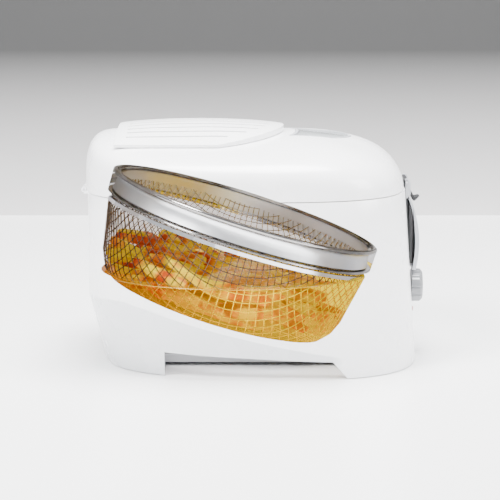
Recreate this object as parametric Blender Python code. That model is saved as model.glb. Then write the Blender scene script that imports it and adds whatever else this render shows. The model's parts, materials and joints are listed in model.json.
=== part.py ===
"""Deep fryer with a tilted rotating basket, shown with a display cutaway in its near side.

Metres, +Z up. +X is the front, where the handle and the thermostat knob are, and -Y is the
near side, which has the cutaway. The origin is on the table under the middle of the fryer.
"""

import math

import bmesh
import bpy
from mathutils import Matrix, Vector

# Clearances
GAP = 0.0003
SMOOTH_ANGLE = math.radians(35)

# Casing
SEGMENTS = 40
CORNER_POWER = 3.0
HALF_WIDTH = 0.1575
WALL = 0.003
FRONT_AT_FLOOR = 0.168
FRONT_SLOPE = 0.0706
BACK = -0.173
BACK_TAPER = 0.018
BACK_TAPER_TOP = 0.070
CASING_BOTTOM = 0.0008
CASING_TOP = 0.1765
CREASE_START = (-0.130, 0.0751)
CREASE_SLOPE = 0.33
CREASE_CURVE = 0.39
CREASE_TAPER = math.tan(math.radians(12))
CREASE_END = (0.075, 0.095)
ARCH = [(-0.090, -0.01), (-0.090, 0.0255), (0.077, 0.0175), (0.092, 0.0), (0.092, -0.01)]

# Lid
LID_BOTTOM = 0.1775
LID_FRONT = 0.1540
LID_BACK = -0.1745
LID_RISE = 0.0560
LID_SIDE_FALL = 0.0240
LID_WALL = 0.0025
LID_RINGS = (1.0, 0.997, 0.98, 0.95, 0.90, 0.82, 0.68, 0.45, 0.2)
LINER_BOTTOM = 0.2190
LINER_TOP = 0.2200

# Filter cover, window and filters
COVER_BACK = -0.141
COVER_ARC_CENTRE = -0.075
COVER_RADIUS = 0.105
COVER_HALF_WIDTH = 0.098
COVER_RISE = 0.0110
COVER_EDGE = 0.0036
COVER_WALL = 0.0022
LOUVRES = 11
LOUVRE_PITCH = 0.0155
LOUVRE_SLOT = 0.004
WINDOW_BACK = 0.043
WINDOW_FRONT = 0.100
WINDOW_HALF_WIDTH = 0.042

# Basket, bowl and drive, in the basket's own frame: w runs along its tilted axis
BASKET_CENTRE = (-0.016, 0.0, 0.130)
BASKET_TILT = math.radians(17.4)
RING_RADIUS = 0.1445
BASKET_DEPTH = 0.088
BOWL_RADIUS = 0.150
BOWL_WALL = 0.0015
BOWL_FLOOR = -0.092
RIM_PLANE_BACK = (-0.155, 0.172)
RIM_PLANE_FRONT = (0.135, 0.118)
HUB_RADIUS = 0.012
SHAFT_RADIUS = 0.004
DOG_RADIUS = 0.0045
GEAR_MODULE = 0.0008
GEAR_TEETH = 48
PINION_TEETH = 12
TOOTH_SHARE = 0.34
MOTOR_SHAFT_RADIUS = 0.0015
GEAR_LEVEL = (-0.1055, -0.1010)
OIL_LEVEL = 0.088

# Display cutaway: it is drawn in towards the eye of someone looking at the near side
EYE = Vector((-0.005, -2.10, 0.43))

# Front controls
KNOB_HEIGHT = 0.0695
KNOB_RADIUS = 0.0173
KNOB_BACK = 0.1647
KNOB_FRONT = 0.1767
PILOT_HEIGHT = 0.044
BUTTON_PLACE = (0.045, 0.158)
HANDLE_PIVOT = (0.1575, 0.1815)
HANDLE_ARC_CENTRE = (0.0502, 0.117)
HANDLE_ARC_RADIUS = 0.1213
HANDLE_TOP = 0.164
HANDLE_BOTTOM = 0.089
HANDLE_HALF_WIDTH = 0.0225

# Lid hinge
HINGE_AXIS = (-0.1750, 0.1775)
HINGE_PIN = 0.0012
KNUCKLE_RADIUS = 0.0026
KNUCKLE_INNER = 0.0345
KNUCKLE_OUTER = 0.0555

FOOT_ANGLES = (38, 142, 218, 322)
FOOT_NAMES = ("front_far", "rear_far", "rear_near", "front_near")


# ---------------------------------------------------------------- building helpers

def material(name, colour, roughness=0.4, metallic=0.0):
    """A Principled material, made once for each name."""
    found = bpy.data.materials.get(name)
    if found:
        return found
    made = bpy.data.materials.new(name)
    made.use_nodes = True
    shader = made.node_tree.nodes["Principled BSDF"]
    shader.inputs["Base Color"].default_value = (*colour, 1.0)
    shader.inputs["Roughness"].default_value = roughness
    shader.inputs["Metallic"].default_value = metallic
    return made


WHITE = ("white_plastic", (0.86, 0.87, 0.88), 0.30)
LIGHT_GREY = ("light_grey_plastic", (0.62, 0.63, 0.65), 0.40)
GREY = ("grey_plastic", (0.42, 0.43, 0.45), 0.40)
BLACK = ("black_plastic", (0.03, 0.03, 0.035), 0.45)
RUBBER = ("rubber", (0.05, 0.05, 0.05), 0.8)
STEEL = ("steel", (0.70, 0.70, 0.72), 0.22, 1.0)
ALUMINIUM = ("aluminium", (0.80, 0.80, 0.82), 0.30, 1.0)
GLASS = ("window_glass", (0.70, 0.74, 0.76), 0.05)
RED = ("red_lens", (0.35, 0.05, 0.04), 0.15)
BRASS = ("brass", (0.72, 0.55, 0.26), 0.35, 1.0)
CHARCOAL = ("charcoal_filter", (0.06, 0.06, 0.06), 0.95)
SILICONE = ("silicone", (0.75, 0.75, 0.74), 0.6)
CERAMIC = ("ceramic", (0.88, 0.86, 0.80), 0.5)
NYLON = ("nylon_gear", (0.85, 0.84, 0.78), 0.5)


def finish(name, work, finish_of, parent=None, cutter=False):
    """Turn a bmesh into an object whose faces point out."""
    bmesh.ops.recalc_face_normals(work, faces=work.faces[:])
    if work.calc_volume(signed=True) < 0:
        bmesh.ops.reverse_faces(work, faces=work.faces[:])
    mesh = bpy.data.meshes.new(name)
    work.to_mesh(mesh)
    work.free()
    mesh.shade_smooth()
    mesh.set_sharp_from_angle(angle=SMOOTH_ANGLE)
    made = bpy.data.objects.new(name, mesh)
    bpy.context.scene.collection.objects.link(made)
    made.parent = parent
    if cutter:
        made.hide_render = True
        made.display_type = "WIRE"
    else:
        made.data.materials.append(material(*finish_of))
    return made


def loft(name, loops, finish_of=WHITE, closed=False, parent=None, cutter=False):
    """Skin equal loops of points. Closed joins the last loop to the first, else the ends are capped."""
    work = bmesh.new()
    rows = [[work.verts.new(point) for point in loop] for loop in loops]
    count = len(rows[0])
    pairs = list(zip(rows, rows[1:]))
    if closed:
        pairs.append((rows[-1], rows[0]))
    for low, high in pairs:
        for i in range(count):
            j = (i + 1) % count
            work.faces.new((low[i], low[j], high[j], high[i]))
    if not closed:
        work.faces.new(rows[0])
        work.faces.new(rows[-1])
    bmesh.ops.triangulate(work, faces=work.faces[:])
    return finish(name, work, finish_of, parent, cutter)


def turned(name, profile, finish_of, parent=None, segments=48, closed=True, cutter=False):
    """Turn a profile of (radius, height) points about the parent's own Z axis."""
    work = bmesh.new()
    verts = [work.verts.new((r, 0.0, h)) for r, h in profile]
    edges = [work.edges.new(pair) for pair in zip(verts, verts[1:])]
    if closed:
        edges.append(work.edges.new((verts[-1], verts[0])))
    bmesh.ops.spin(work, geom=verts + edges, axis=(0, 0, 1), cent=(0, 0, 0),
                   steps=segments, angle=math.tau)
    bmesh.ops.remove_doubles(work, verts=work.verts[:], dist=1e-6)
    return finish(name, work, finish_of, parent, cutter)


def prism(name, outline, start, end, finish_of, axis="Y", parent=None, bevel=0.0, cutter=False):
    """Extrude an outline from start to end. Along Y it is (x, z), along Z (x, y), along X (y, z)."""
    place = {
        "X": lambda a, b, c: (c, a, b),
        "Y": lambda a, b, c: (a, c, b),
        "Z": lambda a, b, c: (a, b, c),
    }[axis]
    loops = [[place(a, b, c) for a, b in outline] for c in (start, end)]
    made = loft(name, loops, finish_of, parent=parent, cutter=cutter)
    if bevel:
        soften(made, bevel)
    return made


def rod(name, start, end, radius, finish_of, segments=24, parent=None, cutter=False):
    """A round rod between two points."""
    start, end = Vector(start), Vector(end)
    along = end - start
    turn = along.to_track_quat("Z", "Y").to_matrix().to_4x4()
    place = Matrix.Translation((start + end) / 2) @ turn
    work = bmesh.new()
    bmesh.ops.create_cone(work, cap_ends=True, segments=segments, radius1=radius,
                          radius2=radius, depth=along.length, matrix=place)
    return finish(name, work, finish_of, parent, cutter)


def block(name, low, high, finish_of, parent=None, bevel=0.0, cutter=False):
    """A box between two corners, with softened edges."""
    outline = [(low[0], low[1]), (high[0], low[1]), (high[0], high[1]), (low[0], high[1])]
    return prism(name, outline, low[2], high[2], finish_of, "Z", parent, bevel, cutter)


def soften(made, width, segments=2):
    """Round an object's edges."""
    bevel = made.modifiers.new("soft_edges", "BEVEL")
    bevel.width = width
    bevel.segments = segments
    bevel.limit_method = "ANGLE"
    bevel.angle_limit = SMOOTH_ANGLE


def boolean(target, other, operation):
    """Cut, join or trim an object by another, which is left out of the model."""
    step = target.modifiers.new(other.name, "BOOLEAN")
    step.operation = operation
    step.solver = "EXACT"
    step.object = other


def arc(centre, radius, start, end, steps):
    """Points along an arc, its angles in degrees."""
    points = []
    for i in range(steps + 1):
        angle = math.radians(start + (end - start) * i / steps)
        points.append((centre[0] + radius * math.cos(angle), centre[1] + radius * math.sin(angle)))
    return points


def smoothstep(low, high, value):
    t = min(1.0, max(0.0, (value - low) / (high - low)))
    return t * t * (3 - 2 * t)


# ---------------------------------------------------------------- shared shapes

def plan_point(angle, back, front, half_width):
    """A point of a rounded-rectangle plan in the direction of an angle from its middle."""
    half_length = (front - back) / 2
    c, s = math.cos(angle), math.sin(angle)
    reach = (abs(c / half_length) ** CORNER_POWER
             + abs(s / half_width) ** CORNER_POWER) ** (-1 / CORNER_POWER)
    return (back + front) / 2 + reach * c, reach * s


def crease_height(x):
    """Height of the crease that runs down the side walls from the rear to the front foot."""
    run = max(0.0, x - CREASE_START[0])
    return CREASE_START[1] - CREASE_SLOPE * run + CREASE_CURVE * run * run


def casing_loop(z, inset=0.0):
    """The casing's outline at a height. Below the crease the side walls lean inwards."""
    back = BACK + BACK_TAPER * max(0.0, 1 - z / BACK_TAPER_TOP) + inset
    front = FRONT_AT_FLOOR - FRONT_SLOPE * z - inset
    loop = []
    for i in range(SEGMENTS):
        x, y = plan_point(math.tau * i / SEGMENTS, back, front, HALF_WIDTH - inset)
        lean = CREASE_TAPER * max(0.0, crease_height(x) - z)
        lean *= 1 - smoothstep(*CREASE_END, x)
        loop.append((x, y * (1 - lean / HALF_WIDTH), z))
    return loop


def lid_height(reach, angle, y):
    """The lid's rise: a long soft slope at the front, a tight shoulder at the sides and rear."""
    front = smoothstep(0.1, 0.95, math.cos(angle))
    power = 20 + (4 - 20) * front
    root = 4 + (2 - 4) * front
    crown = (1 - reach ** power) ** (1 / root)
    fall = LID_SIDE_FALL * (y / HALF_WIDTH) ** 2
    return max(0.0, LID_RISE * crown - fall * crown)


def lid_loop(reach, inset, drop):
    """One ring of the lid's surface, from its rim at reach 1 towards its middle."""
    loop = []
    middle = (LID_BACK + LID_FRONT) / 2
    for i in range(SEGMENTS):
        angle = math.tau * i / SEGMENTS
        x, y = plan_point(angle, LID_BACK + inset, LID_FRONT - inset, HALF_WIDTH - inset)
        x = middle + (x - middle) * reach
        y *= reach
        loop.append((x, y, LID_BOTTOM + lid_height(reach, angle, y) * (1 - drop)))
    return loop


def cover_outline(inset=0.0, steps=10):
    """The filter cover's plan: a straight rear edge, straight sides and a round front."""
    radius = COVER_RADIUS - inset
    half = COVER_HALF_WIDTH - inset
    end = math.degrees(math.asin(half / radius))
    outline = [(COVER_BACK + inset, -half)]
    outline += arc((COVER_ARC_CENTRE, 0.0), radius, -end, end, steps)
    outline += [(COVER_BACK + inset, half - 2 * half * i / 8) for i in range(8)]
    return outline


def window_outline(inset=0.0, steps=10):
    """The window's plan: a rear edge that follows the filter cover, and a round front."""
    back_radius = WINDOW_BACK - COVER_ARC_CENTRE + inset
    half = WINDOW_HALF_WIDTH - inset
    back_end = math.degrees(math.asin(half / back_radius))
    outline = arc((COVER_ARC_CENTRE, 0.0), back_radius, back_end, -back_end, steps)
    front_radius = 0.055
    front_end = math.degrees(math.asin(half / front_radius))
    outline += arc((WINDOW_FRONT - front_radius - inset, 0.0), front_radius, -front_end, front_end, steps)
    return outline


def basket_point(u, v, w):
    """A point of the basket's frame in the world."""
    return Matrix.Translation(BASKET_CENTRE) @ Matrix.Rotation(BASKET_TILT, 4, "Y") @ Vector((u, v, w))


def rim_level(u):
    """Where the bowl's rim plane is above the basket's flange plane."""
    slope = (RIM_PLANE_FRONT[1] - RIM_PLANE_BACK[1]) / (RIM_PLANE_FRONT[0] - RIM_PLANE_BACK[0])
    base = basket_point(u, 0.0, 0.0)
    excess = base.z - RIM_PLANE_BACK[1] - slope * (base.x - RIM_PLANE_BACK[0])
    return -excess / (math.cos(BASKET_TILT) - slope * math.sin(BASKET_TILT))


def hull(points):
    """The convex outline of points in a plane."""
    ordered = sorted(set(points))

    def half(walk):
        chain = []
        for p in walk:
            while len(chain) > 1:
                (ax, ay), (bx, by) = chain[-2:]
                if (bx - ax) * (p[1] - ay) - (by - ay) * (p[0] - ax) > 0:
                    break
                chain.pop()
            chain.append(p)
        return chain[:-1]

    return half(ordered) + half(reversed(ordered))


def sight_cutter(name, points, near=-0.2, far=-0.012):
    """A cutter that opens the near side over points, along the lines of sight to them."""
    flat = []
    for point in points:
        share = -point.y / (EYE.y - point.y)
        seen = point.lerp(EYE, share)
        flat.append((seen.x, seen.z))
    loops = []
    for y in (near, far):
        share = y / EYE.y
        loops.append([(x + (EYE.x - x) * share, y, z + (EYE.z - z) * share) for x, z in hull(flat)])
    return loft(name, loops, cutter=True)


def basket_circle(radius, w, steps=20):
    return [basket_point(radius * math.cos(math.tau * i / steps),
                         radius * math.sin(math.tau * i / steps), w) for i in range(steps)]


# ---------------------------------------------------------------- casing body

def build_cutaway():
    """Cutters for the ring, the basket and the rear edge of the oil."""
    ring = basket_circle(RING_RADIUS, 0.0) + basket_circle(RING_RADIUS + 0.0005, 0.022)
    body = basket_circle(0.1415, -0.009) + basket_circle(0.1345, -0.040)
    body += basket_circle(0.1315, -0.062) + basket_circle(0.126, -0.075)
    body += basket_circle(0.117, -0.085) + basket_circle(0.105, -BASKET_DEPTH)
    pool_middle, pool_radius = -0.022, 0.140
    pool = []
    for i in range(7):
        angle = math.radians(90 + 30 * i)
        pool.append(Vector((pool_middle + pool_radius * math.cos(angle),
                            pool_radius * 0.93 * math.sin(angle), OIL_LEVEL)))
    return [
        sight_cutter("cutaway_ring", ring),
        sight_cutter("cutaway_basket", body),
        sight_cutter("cutaway_oil", pool),
    ]


def build_casing(cutaway):
    levels = (CASING_BOTTOM, 0.026, 0.045, 0.060, 0.0755, CASING_TOP)
    loops = [casing_loop(z) for z in levels]
    loops += [casing_loop(z, WALL) for z in reversed(levels)]
    casing = loft("outer_casing", loops, WHITE, closed=True)
    boolean(casing, prism("arch_cutter", ARCH, -0.2, 0.2, WHITE, cutter=True), "DIFFERENCE")
    for place, name in zip(foot_places(), FOOT_NAMES):
        post = rod(f"post_{name}", (*place, 0.008), (*place, 0.020), 0.0087, WHITE, 16, cutter=True)
        pilot = rod(f"pilot_hole_{name}", (*place, 0.006), (*place, 0.0172), 0.0016, WHITE, 10, cutter=True)
        boolean(casing, post, "UNION")
        boolean(casing, pilot, "DIFFERENCE")
    for side in (-1, 1):
        knuckle = hinge_rod(f"casing_knuckle_{side + 1}", side * (KNUCKLE_INNER + GAP),
                            side * KNUCKLE_OUTER, KNUCKLE_RADIUS)
        web_low, web_high = sorted((side * (KNUCKLE_INNER + GAP), side * KNUCKLE_OUTER))
        web = block(f"knuckle_web_{side + 1}", (-0.1750, web_low, 0.1735), (-0.1690, web_high, 0.1765), WHITE,
                    cutter=True)
        boolean(casing, knuckle, "UNION")
        boolean(casing, web, "UNION")
    room = hinge_rod("lid_knuckle_room", -KNUCKLE_INNER - 0.0001, KNUCKLE_INNER + 0.0001,
                     KNUCKLE_RADIUS + 0.0005)
    boolean(casing, room, "DIFFERENCE")
    boolean(casing, hinge_rod("casing_pin_bore", -0.058, 0.058, HINGE_PIN + GAP), "DIFFERENCE")
    front_holes = (("spindle_hole", 0.0, KNOB_HEIGHT, 0.0040), ("pilot_hole", 0.0, PILOT_HEIGHT, 0.0040),
                   ("button_hole", *BUTTON_PLACE, 0.0064))
    for name, y, z, radius in front_holes:
        boolean(casing, rod(name, (0.145, y, z), (0.18, y, z), radius, WHITE, 20, cutter=True), "DIFFERENCE")
    inlet = rod("inlet_hole", (-0.18, 0.05, 0.030), (-0.14, 0.05, 0.030), 0.0064, WHITE, 20, cutter=True)
    boolean(casing, inlet, "DIFFERENCE")
    for cutter in cutaway:
        boolean(casing, cutter, "DIFFERENCE")


def hinge_rod(name, start, end, radius):
    """A cutter or knuckle along the lid hinge's axis."""
    x, z = HINGE_AXIS
    return rod(name, (x, start, z), (x, end, z), radius, WHITE, 20, cutter=True)


def foot_places():
    """Middles of the four posts that the base screws go into, against the casing's inner wall."""
    inner = casing_loop(0.014, WALL + 0.0072)
    return [inner[round(angle / 360 * SEGMENTS)][:2] for angle in FOOT_ANGLES]


def build_base():
    tray = loft("base_plate", [casing_loop(z, WALL + 0.0022) for z in (0.0040, 0.0062)], LIGHT_GREY)
    for side, name in ((-1, "near"), (1, "far")):
        low = (-0.093, min(side * 0.085, side * 0.2), -0.01)
        high = (0.095, max(side * 0.085, side * 0.2), 0.02)
        boolean(tray, block(f"tray_notch_{name}", low, high, WHITE, cutter=True), "DIFFERENCE")
        low = (-0.0925, min(side * 0.0828, side * 0.0850), 0.0045)
        high = (0.0945, max(side * 0.0828, side * 0.0850), 0.0120)
        boolean(tray, block(f"tray_lip_{name}", low, high, WHITE, cutter=True), "UNION")
    head, shaft = 0.0032, 0.0013
    for (x, y), name in zip(foot_places(), FOOT_NAMES):
        hole = rod(f"tray_hole_{name}", (x, y, 0.0), (x, y, 0.012), shaft + 0.0004, WHITE, 12, cutter=True)
        boolean(tray, hole, "DIFFERENCE")
        profile = [(0.0, 0.0014), (head, 0.0018), (head, 0.0036), (shaft, 0.0036), (shaft, 0.0165),
                   (0.0, 0.0168)]
        screw = turned(f"base_screw_{name}", profile, STEEL, segments=12, closed=False)
        screw.location = (x, y, 0.0)
        pad_x = x * 0.86
        pad = [(0.0, 0.0), (0.0080, 0.0), (0.0090, 0.0008), (0.0090, 0.0037), (0.0, 0.0037)]
        foot = turned(f"rubber_foot_{name}", pad, RUBBER, segments=20, closed=False)
        foot.location = (pad_x, y * 0.86, 0.0)


def bowl_profile():
    """The bowl's wall: inner side down to the shaft hole, then the outer side up again."""
    inner = [(BOWL_RADIUS, 0.045), (BOWL_RADIUS, -0.005), (0.1385, -0.060)]
    inner += [(r, w) for r, w in arc((0.1085, -0.064), 0.028, 0, -90, 5)]
    inner.append((0.0065, BOWL_FLOOR))
    outer = [(0.0065, BOWL_FLOOR - BOWL_WALL)]
    outer += [(r, w) for r, w in arc((0.1085, -0.064), 0.028 + BOWL_WALL, -90, 0, 5)]
    outer += [(0.1385 + BOWL_WALL, -0.060), (BOWL_RADIUS + BOWL_WALL, -0.005)]
    outer.append((BOWL_RADIUS + BOWL_WALL, 0.045))
    return inner + outer


def build_bowl(tilt, cutaway):
    bowl = turned("bowl", bowl_profile(), ALUMINIUM, tilt, SEGMENTS)
    slope = math.atan2(RIM_PLANE_FRONT[1] - RIM_PLANE_BACK[1], RIM_PLANE_FRONT[0] - RIM_PLANE_BACK[0])
    above = block("above_rim", (-0.25, -0.25, 0.0), (0.25, 0.25, 0.1), WHITE, cutter=True)
    above.rotation_euler = (0.0, -slope, 0.0)
    above.location = ((RIM_PLANE_BACK[0] + RIM_PLANE_FRONT[0]) / 2, 0.0,
                      (RIM_PLANE_BACK[1] + RIM_PLANE_FRONT[1]) / 2)
    boolean(bowl, above, "DIFFERENCE")
    for cutter in cutaway:
        boolean(bowl, cutter, "DIFFERENCE")

    loops = []
    for radius, drop in ((0.1520, 0.0), (0.1531, 0.0010)):
        loop = []
        for i in range(SEGMENTS):
            angle = math.tau * i / SEGMENTS
            u, v = radius * math.cos(angle), radius * math.sin(angle)
            loop.append(basket_point(u, v, rim_level(u) - drop))
        loops.append(loop)
    rim_inner, rim_outer = loops
    top_inner = casing_loop(0.1722, WALL + 0.0015)
    top_outer = casing_loop(0.1714, WALL + 0.0004)
    collar = loft("inner_collar", [rim_inner, top_inner, top_outer, rim_outer], LIGHT_GREY, closed=True)
    for cutter in cutaway:
        boolean(collar, cutter, "DIFFERENCE")


def gear_outline(teeth, share):
    """A spur gear's outline. The teeth take a share of the pitch, which leaves running clearance."""
    pitch = GEAR_MODULE * teeth / 2
    steps = ((pitch - 1.1 * GEAR_MODULE, 0.27), (pitch + 0.6 * GEAR_MODULE, share * 0.22))
    outline = []
    for tooth in range(teeth):
        for radius, half in steps:
            angle = math.tau * (tooth - half) / teeth
            outline.append((radius * math.cos(angle), radius * math.sin(angle)))
        for radius, half in reversed(steps):
            angle = math.tau * (tooth + half) / teeth
            outline.append((radius * math.cos(angle), radius * math.sin(angle)))
    return outline


def gear_wheel(name, teeth, bore, finish_of, parent):
    """A spur gear with a round bore, on its parent's axis at the gears' level."""
    outline = gear_outline(teeth, TOOTH_SHARE)
    hole = [(bore * x / math.hypot(x, y), bore * y / math.hypot(x, y)) for x, y in outline]
    low, high = GEAR_LEVEL
    loops = [[(x, y, low) for x, y in outline], [(x, y, high) for x, y in outline],
             [(x, y, high) for x, y in hole], [(x, y, low) for x, y in hole]]
    return loft(name, loops, finish_of, closed=True, parent=parent)


def hexagon(radius):
    return [(radius * math.cos(math.tau * i / 6), radius * math.sin(math.tau * i / 6)) for i in range(6)]


def build_drive(tilt):
    """Shaft, bush, seal, gears and motor, all on the basket's tilted axis."""
    bush = [(SHAFT_RADIUS + GAP, -0.0990), (0.0062, -0.0990), (0.0062, BOWL_FLOOR + 0.0012),
            (SHAFT_RADIUS + GAP, BOWL_FLOOR + 0.0012)]
    turned("shaft_bush", bush, BRASS, tilt, 24)
    seal = [(SHAFT_RADIUS + GAP, BOWL_FLOOR + 0.0015), (0.0085, BOWL_FLOOR + GAP + 0.0014),
            (0.0078, BOWL_FLOOR + 0.0022), (SHAFT_RADIUS + GAP, BOWL_FLOOR + 0.0022)]
    turned("shaft_seal", seal, SILICONE, tilt, 24)

    spindle = rod("drive_shaft", (0, 0, -0.1085), (0, 0, -0.0884), SHAFT_RADIUS, STEEL, 24, tilt)
    dog = prism("drive_dog", hexagon(DOG_RADIUS), -0.0889, -0.0822, STEEL, "Z", tilt, cutter=True)
    boolean(spindle, dog, "UNION")

    gear_wheel("drive_gear", GEAR_TEETH, SHAFT_RADIUS + GAP, NYLON, tilt)

    offset = -GEAR_MODULE * (GEAR_TEETH + PINION_TEETH) / 2
    motor_axis = bpy.data.objects.new("motor_axis", None)
    bpy.context.scene.collection.objects.link(motor_axis)
    motor_axis.parent = tilt
    motor_axis.location = (offset, 0.0, 0.0)
    pinion = gear_wheel("motor_pinion", PINION_TEETH, MOTOR_SHAFT_RADIUS + GAP, BRASS, motor_axis)
    pinion.rotation_euler = (0.0, 0.0, math.pi / PINION_TEETH)
    motor_profile = [(0.0, -0.1290), (0.0115, -0.1290), (0.0125, -0.1280), (0.0125, -0.1090),
                     (0.0115, -0.1080), (0.0030, -0.1080), (0.0030, -0.1059),
                     (MOTOR_SHAFT_RADIUS, -0.1059), (MOTOR_SHAFT_RADIUS, -0.1013), (0.0, -0.1013)]
    turned("gear_motor", motor_profile, STEEL, motor_axis, 28, closed=False)

    bracket = block("motor_bracket", (offset - 0.020, -0.018, -0.1266), (offset + 0.010, 0.018, -0.1250),
                    STEEL, tilt)
    hole = rod("motor_hole", (0, 0, -0.15), (0, 0, -0.10), 0.0129, STEEL, 28, motor_axis, cutter=True)
    boolean(bracket, hole, "DIFFERENCE")


def build_heating(tilt):
    """A round tube element pressed up against the bowl's floor, with its thermal fuse."""
    tube, loop_radius = 0.00325, 0.072
    level = BOWL_FLOOR - BOWL_WALL - GAP - tube
    curve = bpy.data.curves.new("heating_element", "CURVE")
    curve.dimensions = "3D"
    curve.bevel_depth = tube
    curve.bevel_resolution = 2
    curve.use_fill_caps = True
    line = curve.splines.new("POLY")
    points = [Vector((x, y, level)) for x, y in arc((0, 0), loop_radius, 195, 525, 30)]
    line.points.add(len(points) - 1)
    for spot, point in zip(line.points, points):
        spot.co = (*point, 1.0)
    element = bpy.data.objects.new("heating_element", curve)
    bpy.context.scene.collection.objects.link(element)
    element.parent = tilt
    element.data.materials.append(material(*STEEL))
    block("thermal_fuse", (-0.062, 0.020, level - 0.0045), (-0.040, 0.028, level + tube), CERAMIC, tilt,
          0.001)


def build_electrics():
    """Thermostat, pilot lamp, terminal block and the mains inlet's bush."""
    low = (0.1395, -0.016, KNOB_HEIGHT - 0.016)
    high = (0.1590, 0.016, KNOB_HEIGHT + 0.012)
    thermostat = block("thermostat", low, high, BLACK, bevel=0.001)
    hole = rod("spindle_socket", (0.1500, 0, KNOB_HEIGHT), (0.18, 0, KNOB_HEIGHT), 0.0033, BLACK, 20,
               cutter=True)
    boolean(thermostat, hole, "DIFFERENCE")
    lens = [(0.0, 0.1678), (0.0020, 0.1676), (0.0036, 0.1666), (0.0036, 0.1625), (0.0, 0.1625)]
    turn_along_x("pilot_lens", lens, RED, 0.0, PILOT_HEIGHT, 20)
    rod("pilot_lamp", (0.1500, 0, PILOT_HEIGHT), (0.1610, 0, PILOT_HEIGHT), 0.0030, CERAMIC, 16)
    block("terminal_block", (-0.128, 0.036, 0.0065), (-0.110, 0.064, 0.0190), CERAMIC, bevel=0.001)
    bush = [(0.0035, -0.1700), (0.0075, -0.1700), (0.0080, -0.1690), (0.0080, -0.1670),
            (0.0060, -0.1670), (0.0060, -0.1540), (0.0035, -0.1540)]
    turn_along_x("cord_inlet", bush, BLACK, 0.05, 0.030, 24, closed=True)


def turn_along_x(name, profile, finish_of, y, z, segments, closed=False):
    """Turn a (radius, x) profile about a line along X."""
    made = turned(name, profile, finish_of, segments=segments, closed=closed)
    made.rotation_euler = (0.0, math.pi / 2, 0.0)
    made.location = (0.0, y, z)
    return made


# ---------------------------------------------------------------- lid body

def lid_surface(x, y):
    """Height of the lid's outer side over a point of its plan."""
    middle = (LID_BACK + LID_FRONT) / 2
    angle = math.atan2(y, x - middle)
    edge_x, edge_y = plan_point(angle, LID_BACK, LID_FRONT, HALF_WIDTH)
    reach = math.hypot(x - middle, y) / math.hypot(edge_x - middle, edge_y)
    return LID_BOTTOM + lid_height(reach, angle, y)


def lid_patch(name, edges, finish_of, closed=False):
    """A window piece that follows the lid. Each edge is an inset and a height over the lid's surface."""
    loops = []
    for inset, lift in edges:
        loops.append([(x, y, lid_surface(x, y) + lift) for x, y in window_outline(inset)])
    return loft(name, loops, finish_of, closed=closed)


def build_lid(cutaway):
    loops = [lid_loop(reach, 0.0, 0.0) for reach in reversed(LID_RINGS)]
    loops += [lid_loop(reach, LID_WALL, 0.047) for reach in LID_RINGS]
    lid = loft("lid_shell", loops, WHITE)
    knuckle = hinge_rod("lid_knuckle", -KNUCKLE_INNER + GAP, KNUCKLE_INNER - GAP, KNUCKLE_RADIUS)
    boolean(lid, knuckle, "UNION")
    for side in (-1, 1):
        room = hinge_rod(f"casing_knuckle_room_{side + 1}", side * KNUCKLE_INNER,
                         side * (KNUCKLE_OUTER + GAP), KNUCKLE_RADIUS + 0.0005)
        boolean(lid, room, "DIFFERENCE")
    boolean(lid, hinge_rod("lid_pin_bore", -0.058, 0.058, HINGE_PIN + GAP), "DIFFERENCE")
    window = prism("window_hole", window_outline(-0.0006), 0.20, 0.26, WHITE, "Z", cutter=True)
    boolean(lid, window, "DIFFERENCE")
    vent = block("vent_hole", (-0.124, -0.064, 0.20), (-0.012, 0.064, 0.26), WHITE, cutter=True)
    boolean(lid, vent, "DIFFERENCE")
    for cutter in cutaway:
        boolean(lid, cutter, "DIFFERENCE")

    pin = hinge_rod("lid_hinge_pin", -0.0565, 0.0565, HINGE_PIN)
    pin.hide_render = False
    pin.display_type = "TEXTURED"
    pin.data.materials.append(material(*STEEL))

    lid_patch("window_frame", ((0.0, -0.0040), (0.0, 0.0004), (0.0030, 0.0004), (0.0030, -0.0040)),
              LIGHT_GREY, closed=True)
    lid_patch("window_glass", ((0.0034, -0.0034), (0.0034, -0.0012)), GLASS)

    liner = block("lid_liner", (-0.140, -0.088, LINER_BOTTOM), (0.080, 0.088, LINER_TOP), ALUMINIUM)
    view = prism("liner_window", window_outline(0.006), 0.21, 0.23, WHITE, "Z", cutter=True)
    boolean(liner, view, "DIFFERENCE")
    for i in range(5):
        x = -0.112 + 0.0215 * i
        slot = block(f"liner_vent_{i}", (x - 0.003, -0.05, 0.21), (x + 0.003, 0.05, 0.23), WHITE, cutter=True)
        boolean(liner, slot, "DIFFERENCE")
    block("charcoal_filter", (-0.122, -0.062, LINER_TOP + GAP), (-0.014, 0.062, 0.2262), CHARCOAL,
          bevel=0.001)
    block("foam_filter", (-0.122, -0.062, 0.2265), (-0.014, 0.062, 0.2300), SILICONE, bevel=0.001)

    gasket_loops = []
    for z, inset in ((0.1785, 0.0030), (0.1820, 0.0030), (0.1820, 0.0050), (0.1785, 0.0045)):
        loop = [plan_point(math.tau * i / SEGMENTS, LID_BACK + inset, LID_FRONT - inset, HALF_WIDTH - inset)
                for i in range(SEGMENTS)]
        gasket_loops.append([(x, y, z) for x, y in loop])
    gasket = loft("lid_gasket", gasket_loops, SILICONE, closed=True)
    for cutter in cutaway:
        boolean(gasket, cutter, "DIFFERENCE")
    hook = [(0.1425, 0.1830), (0.1425, 0.1780), (0.1410, 0.1745), (0.1450, 0.1745), (0.1450, 0.1830)]
    prism("lid_latch_hook", hook, 0.038, 0.052, LIGHT_GREY)


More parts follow.
